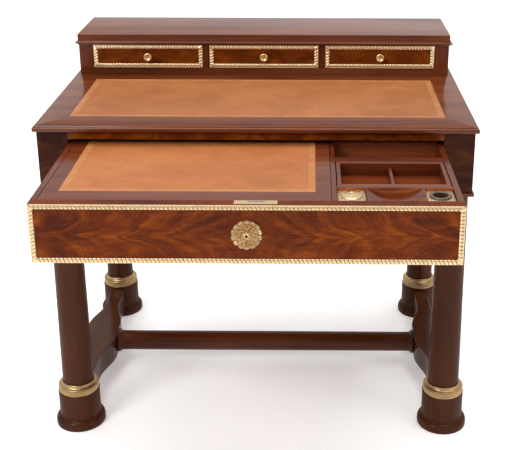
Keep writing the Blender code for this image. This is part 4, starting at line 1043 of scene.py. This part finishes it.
def liner():
    """The ink pot: a glass cup whose flange lies on the plate."""
    low, high, middle = middle_of("ink_liner")
    wide = (high.x - low.x) / 2
    seat = high.z - LINER_FLANGE_HEIGHT
    inside = low.z + LINER_FLOOR
    profile = [(0, inside), (LINER_HOLE_RADIUS - 0.003, inside), (LINER_HOLE_RADIUS, inside + 0.003),
               (LINER_HOLE_RADIUS, high.z - 0.0012)]
    for centre, start in ((LINER_HOLE_RADIUS + LINER_ROUND, 180), (wide - LINER_ROUND, 90)):
        profile += arc((centre, high.z - LINER_ROUND), (LINER_ROUND, LINER_ROUND), start, start - 90, 4)
    profile += [(wide, seat), (CUP_INNER_RADIUS, seat), (CUP_INNER_RADIUS, low.z + 0.001),
                (CUP_INNER_RADIUS - 0.001, low.z), (0, low.z)]
    turned_piece("ink_pot", profile, "ink_liner", "ink_glass", glazed("ink_pot_glass"),
                 (middle.x, middle.y, 0), sides=LINER_SIDES)


# -------------------- boards kept from the CAD
def boards():
    """Materials and softened edges for the nodes that keep their CAD meshes."""
    # The well's back and the drawer bottom take a paler wood, as painted light.
    plain = {  # node: grain, tones, gloss
        "bank_base": ("X", MAHOGANY, 0.5), "bank_back": ("X", DRAWER_WOOD, 0.3),
        "case_bottom": ("X", MAHOGANY, 0.7), "case_back": ("X", DRAWER_WOOD, 0.3),
        "drawer_back": ("X", DRAWER_WOOD, 1.0), "drawer_bottom": ("X", WELL_WOOD_PAINTED_LIGHT, 0.5),
        "drawer_divider": ("Y", DRAWER_WOOD, 1.6), "cross_rail": ("X", DRAWER_WOOD, 1.6),
        "well_back": ("X", WELL_WOOD_PAINTED_LIGHT, 0.6), "writing_panel": ("X", MAHOGANY, 1.4),
        "lift_tray": ("X", DRAWER_WOOD, 1.4)}
    for side in SIDES:
        plain["bank_side_" + side] = plain["bank_divider_" + side] = ("Z", MAHOGANY, 0.5)
        plain["drawer_guide_" + side] = ("Y", DRAWER_WOOD, 0.2)
        plain["drawer_side_" + side] = ("Y", DRAWER_WOOD, 1.6)
    for index, (node, (grain, tones, gloss)) in enumerate(sorted(plain.items())):
        dress(node, wood(node + "_wood", tones, grain, 50.0 + 2.7 * index, gloss))

    # The ink block's faces that look to the front are painted paler, as painted light.
    dress("ink_block", cut_wood_painted_light("ink_block_wood", 97.0))
    veneer = flame("drawer_front_veneer", 0.0, level_in("drawer_front", 0.46), 2.0)
    dress("drawer_front", veneer, VENEER_EDGE)
    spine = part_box("front_rail")[0].z - 0.03
    dress("front_rail", flame("front_rail_veneer", 0.0, spine, 5.0, SMALL_FLAME), VENEER_EDGE)
    for index, place in enumerate(SIDES):
        node = "case_side_" + place
        # the case sides' veneer is darkened, as painted shade
        veneer = flame(node + "_veneer", middle_of(node)[2].x, level_in(node, 0.3), 8.0 + index,
                       STILE_FLAME_PAINTED_SHADE, figure=0.25, plume=0.05, depth=0.045)
        dress(node, veneer, CARCASE_EDGE)
    for index, place in enumerate(PLACES):
        node = "small_drawer_" + place
        veneer = flame(node + "_veneer", middle_of(node)[2].x - 0.02, level_in(node, 0.35),
                       14.0 + 1.9 * index, SMALL_FLAME, figure=0.6, plume=0.05, depth=0.016)
        dress(node, veneer, VENEER_EDGE)

    # The table's leather is painted darker than the writing panel's, as painted shade.
    dress("top_leather", leather("table_leather", "top_leather", TABLE_LEATHER_PAINTED_SHADE), edge=0)
    dress("panel_leather", leather("writing_leather", "panel_leather"), edge=0)
    for place in SIDES:
        node = "inkwell_" + place
        dress(node, engraved(node + "_engraving", node), METAL_EDGE)
    dress("lock_case", metal("lock_brass", BRASS, BRASS_RECESS, 0.34), METAL_EDGE)
    dress("lock_bolt", metal("bolt_steel", STEEL, STEEL_RECESS, 0.36, cloudiness=120.0), METAL_EDGE)


# -------------------- floor, light and camera
def surroundings():
    corners = [(x * FLOOR_HALF, y * FLOOR_HALF, 0) for x, y in ((-1, -1), (1, -1), (1, 1), (-1, 1))]
    floor = new_object("floor", corners, [(0, 1, 2, 3)], smooth=False)
    graph = Graph("floor_paper")
    cloud = graph.noise(graph.place(), scale=3.0)
    colour = graph.ramp(cloud, ((0.3, (0.86, 0.86, 0.86)), (0.7, (0.9, 0.9, 0.9))))
    floor.data.materials.append(graph.surface(Base_Color=colour, Roughness=0.9, Emission_Strength=0.3,
                                              Emission_Color=(1.0, 1.0, 1.0, 1.0)))

    world = bpy.data.worlds.new("studio")
    world.use_nodes = True
    tree = world.node_tree
    split = tree.nodes.new("ShaderNodeSeparateXYZ")
    ramp = tree.nodes.new("ShaderNodeMapRange")
    tree.links.new(tree.nodes.new("ShaderNodeTexCoord").outputs["Generated"], split.inputs[0])
    tree.links.new(split.outputs["Y"], ramp.inputs["Value"])
    tree.links.new(ramp.outputs["Result"], tree.nodes["Background"].inputs["Strength"])
    ramp.inputs["From Min"].default_value = -0.6
    ramp.inputs["To Min"].default_value, ramp.inputs["To Max"].default_value = WORLD_LEVELS
    tree.nodes["Background"].inputs["Color"].default_value = DAYLIGHT
    bpy.context.scene.world = world
    bpy.context.scene.view_settings.view_transform = "Standard"

    lights = (  # name, place, size, watts
        ("key", (-3.2, -4.0, 4.4), (2.2, 2.8), 190.0),
        ("fill", (4.2, -2.6, 3.0), (2.0, 2.8), 46.0),
        ("top", (0.0, 0.2, 6.5), (6.0, 5.0), 420.0))
    for name, spot, size, watts in lights:
        data = bpy.data.lights.new(name, "AREA")
        data.shape = "RECTANGLE"
        data.size, data.size_y = size
        data.energy = watts
        lamp = linked(name, data)
        lamp.location = spot
        lamp.rotation_euler = (LIT_POINT - Vector(spot)).to_track_quat("-Z", "Y").to_euler()


def camera():
    data = bpy.data.cameras.new("camera")
    data.sensor_width = 36.0
    data.lens = CAMERA_LENS
    data.shift_x, data.shift_y = CAMERA_SHIFT
    obj = linked("camera", data)
    level = Euler((pi / 2 - CAMERA_PITCH, 0, CAMERA_YAW)).to_matrix()
    obj.matrix_world = (Matrix.Translation(CAMERA_PLACE)
                        @ (level @ Matrix.Rotation(CAMERA_ROLL, 3, "Z")).to_4x4())
    bpy.context.scene.camera = obj


GILT_PLAIN = metal("gilt_bronze", GILT_SATIN, GILT_RECESS, 0.3)
GILT_RELIEF = metal("gilt_bronze_relief", GILT, GILT_RECESS, 0.34, relief=True)
# The small frames' gilt is painted brighter, as painted highlights from a front light.
GILT_SMALL_PAINTED_LIGHT = metal("gilt_bronze_small_painted_light", SMALL_GILT_PAINTED_LIGHT, SMALL_GILT_RECESS_PAINTED_LIGHT, 0.34, relief=True)
BRASS_PLAIN = metal("polished_brass", BRASS, BRASS_RECESS, 0.26)
BRASS_KNOB = metal("knob_brass", KNOB_BRASS, BRASS_RECESS, 0.26)

columns()
side_stretchers()
pole()
table_top()
bank_top()
leaf_frame("drawer_leaf_frame", "drawer_moulding", GILT_RELIEF)
for place in PLACES:
    leaf_frame("small_leaf_frame_" + place, "small_moulding_" + place, GILT_SMALL_PAINTED_LIGHT)
rosette()
knobs()
lid()
liner()
boards()
surroundings()
camera()
